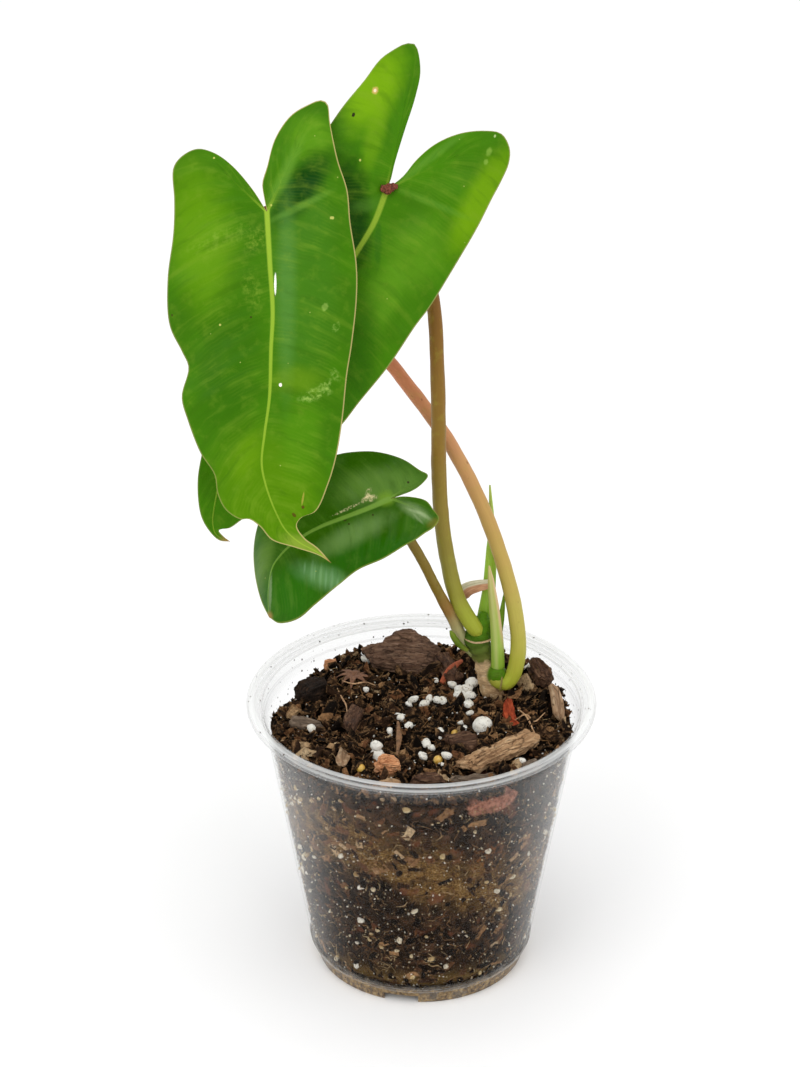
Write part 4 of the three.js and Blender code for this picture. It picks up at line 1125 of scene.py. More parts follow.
def strand(points, middle_of, radius):
    """A thin three-sided fibre through a few points: its points and faces."""
    line = smooth_run(points, np.linspace(0, len(points) - 1, 8))
    ways = np.gradient(line, axis=0)
    made, faces = [], []
    for i, (p, way) in enumerate(zip(line, ways)):
        way = way / (norm(way) + 1e-9)
        side = np.cross(way, (0.31, 0.52, 0.79))
        side /= norm(side)
        up = np.cross(way, side)
        thin = radius * (1 - 0.6 * abs(2 * i / (len(line) - 1) - 1) ** 2)
        for turn in (0, 2.094, 4.189):
            made.append(p + thin * (cos(turn) * side + sin(turn) * up))
    for i in range(len(line) - 1):
        for j in range(3):
            k = (j + 1) % 3
            a, b, c, d = 3 * i + j, 3 * i + k, 3 * i + 3 + k, 3 * i + 3 + j
            faces += [(a, b, c), (a, c, d)]
    end = 3 * (len(line) - 1)
    faces += [(0, 2, 1), (end, end + 1, end + 2)]
    return np.array(made) + middle_of, np.array(faces)


# Loose pieces: at is x, y and the height of the middle over the mix around it

SLAB = [
    (1, 0.1), (0.75, 0.6), (0.2, 1), (-0.1, 0.9), (-0.55, 0.4), (-1, 0.1), (-0.75, -0.5), (-0.3, -0.8),
    (0.3, -1), (0.8, -0.6),
]
TRIANGLE = [(1, 0.2), (0.5, 0.8), (-0.9, 0.9), (-0.7, -0.1), (0, -1), (0.6, -0.7)]
CHIPS = {
    "bark_slab": ((-6.5, 40, 4), (29, 21, 5), (20, 3), 6, "slab", SLAB),
    "bark_twisted": ((9, 31, 1.6), (25, 8, 6), (10, 3), -72, "brown", None),
    "bark_strip": ((25.5, -25, 2.2), (36, 8, 4.5), (12, -4), 36, "pale", None),
    "bark_strip_grey": ((18, -38, 0.4), (17, 6.5, 4), (8, 0), 8, "grey", None),
    "bark_round": ((1.5, -38, 0.8), (13, 8, 6), (6, 8), 10, "brown", None),
    "bark_orange": ((-11.5, -31, 1.6), (10, 9, 6), (0, 8), 20, "orange", None),
    "bark_orange_small": ((-32, 37, 1), (6, 4, 3.5), (0, 0), 30, "orange", None),
    "bark_red": ((31, 3.5, 1.4), (19, 4, 3), (20, 6), -80, "red", None),
    "bark_right": ((42, 23, 3.4), (14, 7, 7), (5, -10), 112, "brown", None),
    "chip_reddish": ((-23.5, -1, 1), (18, 7, 3.5), (12, 0), 78, "brown", None),
    "chip_tan": ((-10.5, -42.5, 0.4), (10, 5, 3), (15, 0), 5, "pale", None),
    "chip_triangle": ((14.5, -17, 1.2), (12, 11, 3.4), (10, 4), 30, "brown", TRIANGLE),
    "shard_grey": ((37, -29, 0.6), (9, 6, 2.5), (25, 0), 40, "grey", None),
    "flake_grey": ((-40, -2, 1), (14, 6, 2), (18, 5), -8, "grey", None),
    "clod_dark": ((-37.5, 17, 3.2), (12, 11, 8), (0, 0), 40, "dark", None),
    "husk_left": ((-26.5, -29, 1.6), (17, 5, 1.8), (35, 10), 86, "husk", None),
    "husk_right": ((46.5, 6, 4.4), (18, 6, 2), (35, -26), 98, "husk", None),
}
# Kinds of bark: slot, finish, its dark, middle and pale tints, and how matt it is
BARKS = {
    "slab": ("bark_brown", "slab_bark", (44, 30, 24), (104, 78, 62), (160, 130, 108)),
    "brown": ("bark_brown", "brown_bark", (34, 22, 16), (80, 56, 42), (136, 106, 82)),
    "dark": ("bark_brown", "dark_clod", (14, 10, 7), (34, 24, 17), (72, 52, 38)),
    "pale": ("bark_pale", "pale_bark", (78, 50, 32), (160, 126, 92), (220, 190, 152)),
    "grey": ("bark_grey", "grey_bark", (52, 42, 34), (104, 88, 74), (156, 138, 118)),
    "orange": ("bark_orange", "orange_bark", (124, 72, 44), (198, 140, 98), (234, 190, 150)),
    "red": ("bark_red", "red_bark", (110, 38, 20), (160, 66, 38), (190, 100, 66), 0.6),
    "husk": ("husk", "dry_husk", (84, 60, 42), (146, 116, 88), (196, 172, 142)),
}
GRAINS = {
    "perlite_big": [(21, -7, 2, 3.4)],
    "perlite_cluster": [(13.6, 15.5, 1, 2.5), (17, 13.5, 1.4, 2.2), (16.2, 18.5, 1.2, 2.7), (14.5, 11.5, 0.9, 1.9)],
    "perlite_tall": [(-15, -24, 1.2, 2.4), (-15.2, -23.6, 4.4, 2.1), (-14.6, -26, 1, 1.9)],
    "prill_a": [(11.5, -10, 1, 1.5)],
    "prill_b": [(5.5, -26, 1, 1.6)],
    "prill_c": [(-20.5, -33, 1, 1.5)],
}
STEM_SPOT = (25, 15.5, 3.7)


def covered(x, y):
    """True where a loose piece or the stem already lies."""
    stem_x, stem_y, stem_r = STEM_SPOT
    if hypot(x - stem_x, y - stem_y) < stem_r:
        return True
    for (at_x, at_y, _), (long, wide, _), _, heading, _, _ in CHIPS.values():
        turn = radians(heading)
        dx, dy = x - at_x, y - at_y
        a, b = dx * cos(turn) + dy * sin(turn), dy * cos(turn) - dx * sin(turn)
        if (a / (0.5 * long + 0.4)) ** 2 + (b / (0.5 * wide + 0.6)) ** 2 < 1:
            return True
    return any(hypot(x - g[0], y - g[1]) < g[3] for grains in GRAINS.values() for g in grains)


def spots_on_top(draw, count, reach=53.0):
    """count free places on the mix: x, y and height."""
    found = []
    while len(found) < count:
        r, turn = reach * sqrt(draw.random()), draw.uniform(0, 2 * pi)
        x, y = r * cos(turn), r * sin(turn)
        if not covered(x, y) and r < inner_radius(mix_height(x, y)) - 1.3:
            found.append((x, y))
    xy = np.array(found)
    return np.column_stack([xy, mix_height(xy[:, 0], xy[:, 1])])


def width_at(x, y, z):
    """The widest bit that keeps clear of the wall at this place."""
    return 2 * (float(inner_radius(z)) - hypot(x, y)) - 0.9


def top_bits(settings):
    """Crumbs and flakes on the mix."""
    draw = random.Random(5)
    crumbs = [bit_master("crumb", 3 + i) for i in range(7)]
    flakes = [bit_master("flake", 20 + i) for i in range(8)]
    placed = []
    for x, y, z in spots_on_top(draw, settings.crumbs):
        size = min(draw.choice([0.7, 1.1, 1.5, 2, 2.7, 3.5]), width_at(x, y, z))
        lift = draw.uniform(-0.9, 1.0)
        scale = np.diag([size, size * draw.uniform(0.6, 1), size * draw.uniform(0.5, 0.9)])
        placed.append((draw.randrange(7), spin(draw) @ scale, (x, y, z + lift), draw.random() ** 2.4))
    pieces = [scatter("mix_crumbs", crumbs, placed)]
    placed = []
    for x, y, z in spots_on_top(draw, settings.flakes, 51.5):
        long = min(2 + 6 * draw.random() ** 1.6, width_at(x, y, z))
        scale = np.diag([long, long * draw.uniform(0.3, 0.8), long * draw.uniform(0.7, 1.5)])
        lift = draw.uniform(0.2, 1.7)
        placed.append((draw.randrange(8), spin(draw, 0.9) @ scale, (x, y, z + lift), draw.random() ** 1.8))
    pieces.append(scatter("mix_flakes", flakes, placed))
    return pieces


def fibres(name, draw, places, spans, bend, levels, curve=0.0):
    """Thin bent fibres. places holds the middle of each and the directions that it lies along."""
    made = []
    for middle, axes in places:
        heading, long = draw.uniform(0, 2 * pi), draw.uniform(*spans)
        c, s = cos(heading), sin(heading)
        line = []
        for i in range(4):
            a, off = (i / 3 - 0.5) * long, draw.uniform(-bend, bend) * long
            line.append(axes @ (a * c - off * s, a * s + off * c, draw.uniform(*levels) - curve * (a * c) ** 2))
        made.append((*strand(line, middle, draw.uniform(0.07, 0.2)), draw.random()))
    return gather(name, made)


def top_strands(settings):
    draw = random.Random(8)
    places = [(place + (0, 0, 0.3), np.eye(3)) for place in spots_on_top(draw, settings.strands, 50.5)]
    return fibres("mix_strands", draw, places, (2.5, 8), 0.13, (0.2, 2.0))


# Heights and radii of the inside of the wall's foot
INSIDE_FOOT = ([4.6, 10], [35.8, 38.9])


def wall_place(turn, z, depth):
    """A point just inside the wall, and the directions along it, up it and out of it."""
    r = float(inner_radius(z) if z > WALL_LOW[1] else np.interp(z, *INSIDE_FOOT))
    out = np.array([cos(turn), sin(turn), 0])
    along = np.array([-sin(turn), cos(turn), 0])
    up = np.array([0.17 * cos(turn), 0.17 * sin(turn), 1.0])
    up /= norm(up)
    normal = np.cross(along, up)
    return out * (r - depth) + np.array([0, 0, z]), np.column_stack([along, up, normal])


def pressed_bits(settings):
    """Flakes, grains and crumbs that lie flat against the inside of the wall."""
    draw = random.Random(31)
    flakes = [bit_master("flake", 40 + i) for i in range(6)]
    specks = [bit_master("crumb", 60 + i) for i in range(5)]
    grains = [bit_master("grain", 80 + i) for i in range(4)]
    brown, pale = [], []
    for _ in range(settings.pressed):
        turn, z = draw.uniform(0, 2 * pi), draw.uniform(5.5, 90.5)
        kind = draw.random()
        on_plate = abs(degrees(turn) - 360 - PLATE["turn"]) < 10 and abs(z - PLATE["z"]) < 5
        if z > wall_brim(turn) - 0.5 or on_plate:
            continue
        if kind < 0.4:
            size = (draw.uniform(1.3, 6), draw.uniform(0.9, 4), draw.uniform(0.7, 1.5))
            middle, axes = wall_place(turn, z, 0.55)
            roll = np.array(Matrix.Rotation(draw.uniform(0, pi), 3, "Z"))
            from_band = z + BAND["drop"] * max(middle[0], BAND["from"]) - BAND["z"]
            paler = 0.6 if abs(from_band) < BAND["half"] else 2.6
            brown.append((draw.randrange(6), axes @ roll @ np.diag(size), middle, draw.random() ** paler))
        else:
            small = kind < 0.94
            size = draw.uniform(0.3, 0.85) if small else draw.uniform(1.2, 3)
            middle, axes = wall_place(turn, z, 0.12 + 0.32 * size)
            shape = axes @ spin(draw) @ np.diag([size, size * draw.uniform(0.6, 1), size * 0.6])
            pale.append((draw.randrange(5) if small else 5 + draw.randrange(4), shape, middle, draw.random()))
    pieces = [scatter("wall_flakes", flakes, brown)]
    pieces.append(scatter("wall_grains", specks + grains, pale, True))
    return pieces


def wall_strands():
    draw = random.Random(37)
    spots = [(draw.uniform(0, 2 * pi), draw.uniform(6, 89)) for _ in range(1500)]
    places = [wall_place(turn, z, 0.45) for turn, z in spots if z < wall_brim(turn) - 2.5]
    return fibres("wall_strands", draw, places, (1.5, 6), 0.22, (-0.3, 0), 1 / 90)


# White grains that show one by one on the mix: x, y and length
EGGS = [
    (-18.7, 39, 3), (17.6, 21, 3.6), (13.2, 17.5, 2.8), (16.6, 7.2, 2.6), (10.9, 21.1, 2.4), (5.6, 12, 2.4),
    (2.8, 13.7, 2.2), (7.6, 11, 2.2), (1, 9.4, 2.6), (-2.8, 12.2, 2.4), (-4.2, 8.9, 1.9), (-6.6, -1.7, 2.4),
    (-4.2, -7.7, 2.2), (-8, 0.4, 2.2), (-37.4, -6.9, 2.6), (1.2, -15.4, 2.8), (3.4, -18, 2.2),
    (0.5, -23.5, 2.6), (8.2, -26.2, 2.4), (33, -28, 2.4), (38.4, 28.2, 2.4), (-19.1, 14.5, 1.8),
    (6.5, -9.2, 1.8), (13.8, -3.6, 1.8), (-10.7, -8.6, 1.8), (16.8, 2.4, 2), (14.6, -7.8, 2), (5.2, 24, 1.5),
]


def perlite_bits(settings):
    """White grains on the mix: the ones that show one by one, and specks all over."""
    draw = random.Random(17)
    eggs = [bit_master("egg", 100 + i) for i in range(6)]
    grains = [bit_master("grain", 110 + i) for i in range(5)]
    placed = []
    for x, y, size in EGGS:
        scale = size * np.diag([draw.uniform(1.5, 1.8), draw.uniform(1.05, 1.35), draw.uniform(1, 1.2)])
        middle = (x, y, float(mix_height(x, y)) + 0.5 * size + 0.8)
        placed.append((draw.randrange(6), spin(draw, 0.5) @ scale, middle, draw.random()))
    for x, y, z in spots_on_top(draw, settings.specks, 50):
        near = 1 - min(1, hypot(x - 2, y - 4) / 45)
        size = draw.uniform(0.3, 0.8) + (draw.uniform(0.2, 1.1) if draw.random() < 0.5 * near else 0)
        scale = np.diag([size, size * draw.uniform(0.7, 1), size * draw.uniform(0.6, 0.95)])
        middle = (x, y, z + draw.uniform(0.5, 1.3))
        placed.append((6 + draw.randrange(5), spin(draw) @ scale, middle, draw.random()))
    return scatter("perlite_bits", eggs + grains, placed, True)


# Tints of the small bits, from the darkest to the palest
BIT_TINTS = {
    "brown": (
        (0.0, (16, 11, 8)), (0.4, (36, 25, 18)), (0.68, (66, 45, 31)), (0.84, (112, 74, 48)),
        (0.93, (160, 122, 84)), (1.0, (206, 180, 142)),
    ),
    "straw": ((0.0, (60, 38, 24)), (0.4, (104, 70, 44)), (0.75, (150, 112, 72)), (1.0, (190, 164, 120))),
    "pale": ((0.0, (150, 120, 78)), (0.3, (196, 172, 124)), (0.55, (214, 204, 178)), (1.0, (238, 236, 228))),
}


class PLANT_OT_mix(Operator):
    """Fill the pot with potting mix: its body, its crumbs, flakes and fibres, and the bits at the wall"""

    bl_idname = "plant.mix"
    bl_label = "Potting mix"

    def execute(self, context):
        settings = context.scene.potted_plant.mix
        finish_piece(mix_body(), mix_finish(settings), ["soil"])
        bits = bit_finish("mix_bits", BIT_TINTS["brown"])
        for piece in top_bits(settings):
            finish_piece(piece, bits)
        strands = bit_finish("mix_fibre", BIT_TINTS["straw"], 0.7, 0.1)
        finish_piece(top_strands(settings), strands)
        flakes, grains = pressed_bits(settings)
        finish_piece(flakes, bits)
        finish_piece(grains, bit_finish("pale_grit", BIT_TINTS["pale"], 0.8, 0.1))
        finish_piece(wall_strands(), strands)
        return {"FINISHED"}


# Loose pieces


def chip_blank(size, outline, seed, rough_share=0.3):
    """The chip's broken outline in four levels, lying along x, as in the solids."""
    draw = draws(seed)
    drawn = []
    for i in range(8):
        turn = pi * (i + 0.5 * (draw() - 0.5)) / 4
        square = 1 / max(abs(cos(turn)), abs(sin(turn))) ** 0.7
        reach = square * (1 - rough_share * draw())
        drawn.append((reach * cos(turn), reach * sin(turn)))
    edge = [(0.5 * size[0] * x, 0.5 * size[1] * y) for x, y in (outline or drawn)]
    points = []
    for part, level in ((0.86, -0.5), (1, -0.28), (0.98, 0.22), (0.8, 0.5)):
        for x, y in edge:
            points.append((part * x, part * y, level * size[2] * (1 + rough_share * (draw() - 0.5))))
    n = len(edge)
    pairs = [(j, (j + 1) % n) for j in range(n)]
    faces = [(i + j, i + k, i + n + k, i + n + j) for i in range(0, 3 * n, n) for j, k in pairs]
    return points, faces + [tuple(range(n - 1, -1, -1)), tuple(range(3 * n, 4 * n))]


def carve_chip(name, spec, seed):
    """A chip of bark: the blank made fine, then split, layered and pitted along its grain."""
    at, size, tilt, heading, kind, outline = spec
    points, faces = chip_blank(size, outline, seed)
    chip = new_piece(name + "_detailed", points, faces)
    modify(chip, "REMESH", mode="VOXEL", voxel_size=(0.3 if size[2] < 3 else 0.36) * MM)
    local, normals = points_of(chip), read(chip, "normal")
    grain = local * (0.22, 1, 1)
    ridges = rough(grain, 1.7, 4, seed)
    knobs = rough(local, 4.5, 3, seed + 3)
    steps = rough(grain * (0.6, 1, 1), 3.2, 2, seed + 7)
    layers = np.floor(steps * 4) / 4 - steps
    thin = min(1.0, size[2] / 5)
    shift = (0.42 * ridges + 0.6 * knobs * thin + 1.1 * layers * thin) * (0.5 if kind == "husk" else 1)
    if size[2] >= 4 and kind != "dark":
        layer = np.column_stack([local[:, :2] * 0.25, np.round(local[:, 2] / 0.9) * 3])
        shift += 1.5 * rough(layer, 1.6, 2, seed + 5) * (1 - np.abs(normals[:, 2]))
        broken = np.clip(rough(local * (0.35, 1, 0), 6, 2, seed + 11) + 0.5, 0, 1)
        shift -= 0.5 * np.floor(2.6 * broken) * np.maximum(normals[:, 2], 0)
    local = local + normals * np.clip(shift, -1.7 * thin - 0.1, 0.6)[:, None]
    if kind == "husk":
        local[:, 2] += 0.055 * local[:, 1] ** 2 * 2.2 - 0.012 * local[:, 0] ** 2
    if kind == "red":
        local[:, 1] = 1.35 * local[:, 1] + 0.02 * local[:, 0] ** 2 - 0.8
    note(chip, "grain", local)
    turn = Euler((radians(tilt[0]), radians(tilt[1]), radians(heading)), "XYZ").to_matrix()
    x, y, lift = at
    middle = np.array([x, y, float(mix_height(x, y)) + lift])
    move_points(chip, local @ np.array(turn).T + middle)
    return chip


def rough_ball(name, balls, seed, lumpy):
    """Balls made into one lumpy body."""
    flat = 1 if len(balls) == 1 else 0.8
    lumps = [ball((x, y, float(mix_height(x, y)) + lift), (r, flat * r, flat * r)) for x, y, lift, r in balls]
    piece = join(lumps, name + "_detailed")
    points = points_of(piece)
    swell(piece, lumpy * (rough(points, 1.9, 2, seed) + 0.3 * rough(points, 0.6, 2, seed + 1)))
    return piece


# Thin roots, the curl of orange bark, the sliver and the star-shaped husk that lie on the mix
ROOTS = [
    [(-29.7, 19.7, 94.4), (-27.8, 12.6, 94.2), (-26, 6.6, 94.2), (-25.5, 1.2, 94.6)],
    [(-27.6, 21.9, 95), (-23.4, 18.8, 95.6), (-19.2, 20.1, 95.4), (-16, 18.8, 95)],
    [(32.1, -3.6, 94.2), (36, 0.3, 94), (38.6, -3.7, 93.6), (42.6, 1.3, 94.2)],
    [(33.4, 4.6, 93.8), (36, -1.1, 94.2), (37.8, -8.4, 93.8), (38.9, -12.7, 93.2)],
]
THIN_BITS = {
    "orange_curl": (
        [(7.4, 22.6, 93.6), (9.4, 25.4, 95.8), (12, 29, 97), (14.6, 32.4, 97.2)],
        [(0, 1.1, 0.5), (0.5, 1.5, 0.6), (1, 0.6, 0.4)],
        14, (0.5, -0.6, 0.6), "bark_orange", (168, 84, 52), (112, 52, 30),
    ),
    "wood_sliver": (
        [(-8, -5.5, 94.6), (-7.6, -14.3, 93.8), (-8.3, -25, 93)],
        [(0, 0.4, 0.4), (0.5, 1.1, 0.6), (1, 0.3, 0.3)],
        12, (0, -0.5, 1), "bark_pale", (134, 98, 66), (70, 48, 32),
    ),
}
STAR = {"at": (-23.4, 24.5, 95.2), "arms": [-8, 34, 82, 128, 172, 214, 262, 312], "long": 7.6}


def star_husk():
    """A dry husk split into pointed arms that spread from its middle."""
    arms = []
    for i, angle in enumerate(STAR["arms"]):
        turn, long = radians(angle), STAR["long"] * (1 - 0.12 * (i % 3))
        path = []
        for a, up in ((0, 0), (0.3, 0.9), (0.65, 0.5), (1, -1.1)):
            bend = turn + 0.12 * a * (i % 2)
            path.append((a * long * cos(bend), a * long * sin(bend), up))
        path = [tuple(np.array(STAR["at"]) + p) for p in path]
        arms.append(loft("arm", path, through([(0, 0.5, 0.3), (0.35, 1.3, 0.25), (1, 0.1, 0.1)]), 14, 10, (0, 0, 1)))
    return join(arms, "star_husk")


class PLANT_OT_bark(Operator):
    """Lay the bark chips, shards and husks on the mix"""

    bl_idname = "plant.bark"
    bl_label = "Bark and husks"

    def execute(self, context):
        finishes = {kind: bark_finish(*look) for kind, (_, *look) in BARKS.items()}
        for i, (name, spec) in enumerate(CHIPS.items()):
            kind = spec[4]
            chip = carve_chip(name, spec, 40 + i)
            slot = "bark_red" if name == "chip_reddish" else BARKS[kind][0]
            finish_piece(chip, finishes[kind], [name])
        finish_piece(star_husk(), paper_finish("star_husk", (124, 86, 62), (66, 42, 30)))
        for name, (path, section, sides, face, slot, *tints) in THIN_BITS.items():
            bit = loft(name, path, through(section), 30, sides, face)
            finish_piece(bit, paper_finish(name, *tints))
        thin = through([(0, 0.16, 0.16), (0.5, 0.34, 0.34), (1, 0.14, 0.14)])
        roots = join([loft("root", path, thin, 36, 8) for path in ROOTS], "dry_roots")
        finish_piece(roots, paper_finish("dry_root", (196, 156, 116), (116, 80, 54)))
        return {"FINISHED"}


class PLANT_OT_minerals(Operator):
    """Lay the perlite grains and the fertiliser prills on the mix"""

    bl_idname = "plant.minerals"
    bl_label = "Perlite and prills"

    def execute(self, context):
        perlite = perlite_finish(context.scene.potted_plant.mix)
        prill = prill_finish()
        for i, (name, balls) in enumerate(GRAINS.items()):
            is_prill = name.startswith("prill")
            grain = rough_ball(name, balls, 3 * i, 0.08 if is_prill else 0.3)
            finish_piece(grain, prill if is_prill else perlite, [name])
        finish_piece(perlite_bits(context.scene.potted_plant.mix), perlite)
        return {"FINISHED"}


# Plant

STEM_PATH = [
    (25.8, 15.5, 80), (25.4, 15.8, 91), (24, 16.2, 96.5), (22.3, 16.6, 101.5), (21.4, 16.8, 106.3),
    (20.4, 17, 111), (19.4, 17.2, 114.6), (20.4, 17.5, 117.5), (21, 17.8, 120.5), (21.6, 18.2, 124),
]
STEM_RADII = [
    (0, 3.9), (0.22, 3.9), (0.33, 3.1), (0.44, 3), (0.56, 3.9), (0.67, 4.8), (0.71, 4.5), (0.78, 4),
    (0.89, 3.4), (1, 1.4),
]
SIDE_NODE = ((26.4, 14.6, 101.8), (3.4, 3.1, 3.8))
STALKS = {
    "petiole_back": (
        [
            (20, 15.2, 117.8), (18, 14.8, 120.6), (14.9, 16.4, 125.2), (12.3, 18.2, 130),
            (9, 20.2, 143.5), (6.9, 21, 158.5), (5.8, 21, 177), (5.6, 21, 196), (5.1, 22, 214),
            (4.1, 25, 232), (1.3, 27.5, 248), (-4.5, 26.5, 263), (-9.8, 21, 275.5), (-11.5, 18, 279),
        ],
        [(0, 1.8), (0.04, 2.6), (0.1, 2.9), (0.25, 2.75), (0.5, 2.55), (0.65, 2.35), (1, 2.25)],
    ),
    "petiole_front": (
        [
            (25, 14.6, 101), (27.2, 13.8, 99.4), (29.4, 13.5, 99.3), (31.6, 13.5, 101.8),
            (33.1, 13.8, 107.6), (33.5, 15, 115), (31.5, 18, 129), (25.9, 23, 148), (19.1, 27.5, 164.5),
            (10.8, 30.5, 180.5), (2.1, 32, 194), (-5.6, 33, 204.5), (-10.7, 33, 211.5), (-20.7, 33, 222),
            (-32.2, 31, 235), (-41, 26.5, 249), (-46.5, 20, 261), (-49, 11, 271), (-49.5, 4, 276.5),
        ],
        [(0, 2.6), (0.1, 2.8), (0.3, 2.7), (0.55, 2.4), (1, 2.2)],
    ),
    "petiole_low": (
        [
            (18.5, 18, 108.5), (14.4, 17.6, 113.8), (11.6, 17.2, 121.1), (7.2, 15.2, 130.8),
            (4.2, 13, 138.4), (-0.8, 11, 150.2), (-3.3, 10.5, 155.1), (-6.6, 10.5, 162),
            (-9.3, 9, 169.5), (-10.3, 5, 174.5),
        ],
        [(0, 2.1), (0.2, 2.2), (0.35, 1.85), (0.5, 1.75), (1, 1.6)],
    ),
}
SHEATHS = {
    "sheath_back": (
        [(22.4, 20.5, 120.8), (23.4, 23, 130.4), (24, 26, 140.5), (24.3, 29, 150.6), (23.5, 33.5, 165.6)],
        [(0, 3.1, 1.4, 0.6), (0.25, 2.3, 1.1, 0.5), (0.6, 1.8, 0.9, 0.3), (1, 0.3, 0.3, 0)],
        (0, -1, 0),
    ),
    "sheath_front": (
        [(26.6, 13.7, 104.6), (26.1, 12.6, 116), (25.2, 12.6, 126), (24.1, 13.2, 135.5), (23, 14, 144.5)],
        [(0, 2.4, 1, 0.8), (0.25, 2.2, 0.7, 1), (0.6, 1.7, 0.6, 0.8), (0.85, 1.1, 0.5, 0.4), (1, 0.3, 0.3, 0)],
        (0, -1, 0),
    ),
    "sheath_curl": (
        [
            (19.6, 21.5, 119.5), (15.6, 24, 121.5), (13.4, 25, 125.5), (15.4, 24.2, 129.6),
            (19.4, 21.5, 132.8), (24.2, 18.2, 135.4),
        ],
        [(0, 0.9, 0.5), (0.3, 1.4, 0.45), (0.55, 2.6, 0.4), (0.8, 2.1, 0.4), (1, 1.5, 0.35)],
        (0, -0.9, 0.45),
    ),
    "sheath_sliver": (
        [(24.6, 17.4, 104), (26, 17.6, 110), (27.2, 18, 118), (28.1, 19, 126), (28.5, 19.8, 130.5)],
        [(0, 1.2, 0.6, 0.2), (0.6, 1.1, 0.4, 0.2), (1, 0.3, 0.3, 0)],
        (0, -1, 0),
    ),
    "bud_left": (
        [(15.8, 14.6, 111.4), (13.4, 13.2, 114), (11.4, 12.9, 117), (10, 12.8, 120)],
        [(0, 0.8, 0.8), (0.5, 1.15, 1.1), (0.8, 1, 0.9), (1, 0.4, 0.4)],
        (0, -1, 0),
    ),
}


# What tints and marks each blade, with its painted shade, shadow, sheen and highlights: display tint, strength, then
# middle, half width and half length, turn, softness and size of specks, on the flat blade

CREAM, DARK, DOT, SCAR = (238, 220, 168), (46, 32, 16), (196, 194, 104), (142, 176, 78)
# Painted highlight streaks of the low blade's gloss: middle, half width and half length
PAINTED_SHINE = [
    ((11.4, 35.4), (0.35, 1.6)), ((13, 33.4), (0.5, 2.6)), ((14.1, 32.9), (0.3, 2)), ((15.7, 31.4), (0.45, 2.9)),
    ((17.3, 30.2), (0.35, 2.3)), ((18.3, 28.6), (0.55, 2.8)), ((20.4, 27.4), (0.4, 1.7)), ((21.3, 26.2), (0.3, 1.3)),
]
FRONT_MARKS_AND_PAINTED_LIGHT = [
    # Painted light: the left half lighter where it faces the light
    ((102, 150, 6), 0.6, (-21, 8), (9.5, 22), -10, 1.2),
    ((92, 144, 18), 0.6, (14, -24), (6.5, 7), 90, 1.1),
    # Painted shade: the right half darker, turned away from the light
    ((62, 114, 20), 0.6, (13, 22), (9, 28), 0, 1.0),
    # Painted shade in the cupped right lobe by the notch
    ((12, 60, 4), 1.0, (10.8, -7.6), (5, 12), 38, 1.2),
    ((104, 152, 50), 0.5, (10.5, -1.6), (1.1, 8.9), 64, 1.4),
    ((104, 152, 46), 0.5, (5.6, -12), (1.7, 11), 26, 1.4),
    # Painted sheen: a bluish strip right of the midrib
    ((84, 134, 58), 0.5, (6.4, 24), (2.6, 29), 0, 1.4),
    ((46, 96, 2), 0.65, (-12, 50), (9, 22), 10, 1.1),
    ((80, 126, 0), 0.9, (0.5, 91), (16, 21), -20, 1.0),
    ((104, 148, 10), 0.4, (-6.1, 77.9), (3.6, 7), 20, 1.1),
    ((78, 132, 10), 0.6, (11, 72), (5.7, 12), 5, 1.1),
    ((112, 148, 20), 0.4, (9.7, 53.7), (3.8, 7.4), -90, 1.3),
    ((132, 166, 52), 0.4, (-14, 8.6), (2.9, 11), 70, 1.2, 1.9),
    ((140, 168, 54), 0.45, (-3.4, 9.2), (2.8, 4.5), 29, 1.2, 1.6),
    ((130, 160, 48), 0.4, (-4.5, 25.5), (2.8, 6.3), -10, 1.2, 1.9),
    (SCAR, 0.95, (15.4, 58.1), (1.7, 5.2), 72, 0.8, 1.9),
    (SCAR, 0.85, (18.3, 55.4), (1.1, 3), 50, 0.8, 1.4),
    (SCAR, 0.6, (18.5, 30.6), (0.9, 1.3), 29, 0.6),
    (SCAR, 0.6, (22, 36.9), (1, 1.7), 29, 0.6, 1.2),
    (SCAR, 0.55, (21.7, 52), (1.3, 2.2), -30, 0.7, 1.2),
    (DOT, 0.8, (20.7, 2.2), (0.5, 0.7), 90, 0.4),
    (DOT, 0.9, (1.3, -2.1), (0.35, 0.4), 0, 0.4),
    (DOT, 0.8, (-14.6, 36.2), (0.35, 0.35), 0, 0.4),
    (DOT, 0.8, (-16.7, -16.9), (0.35, 0.35), 0, 0.4),
    ((246, 246, 238), 1.0, (2.8, 23.2), (0.36, 3.4), 0, 0.3),
    (DARK, 0.8, (2.6, 26.9), (0.2, 0.3), 0, 0.4),
    ((250, 238, 232), 1.0, (4.5, 55.2), (0.5, 0.6), 0, 0.3),
    (DARK, 0.8, (-4.8, 33.8), (0.35, 0.3), 0, 0.4),
    (DARK, 0.8, (-30.1, 32.8), (0.3, 0.4), 0, 0.4),
    ((146, 164, 60), 0.6, (12, 106.5), (7, 2.6), 25, 1.2),
    ((176, 160, 70), 0.6, (11.5, 91), (0.3, 2), 10, 0.6),
    ((178, 158, 94), 0.7, (18.8, 107.2), (1.6, 5), -38, 1.1),
    ((80, 54, 16), 0.9, (11.5, 93.7), (0.5, 0.5), 0, 0.5),
    ((80, 54, 16), 0.8, (8.7, 96.2), (0.5, 0.8), -40, 0.5),
]
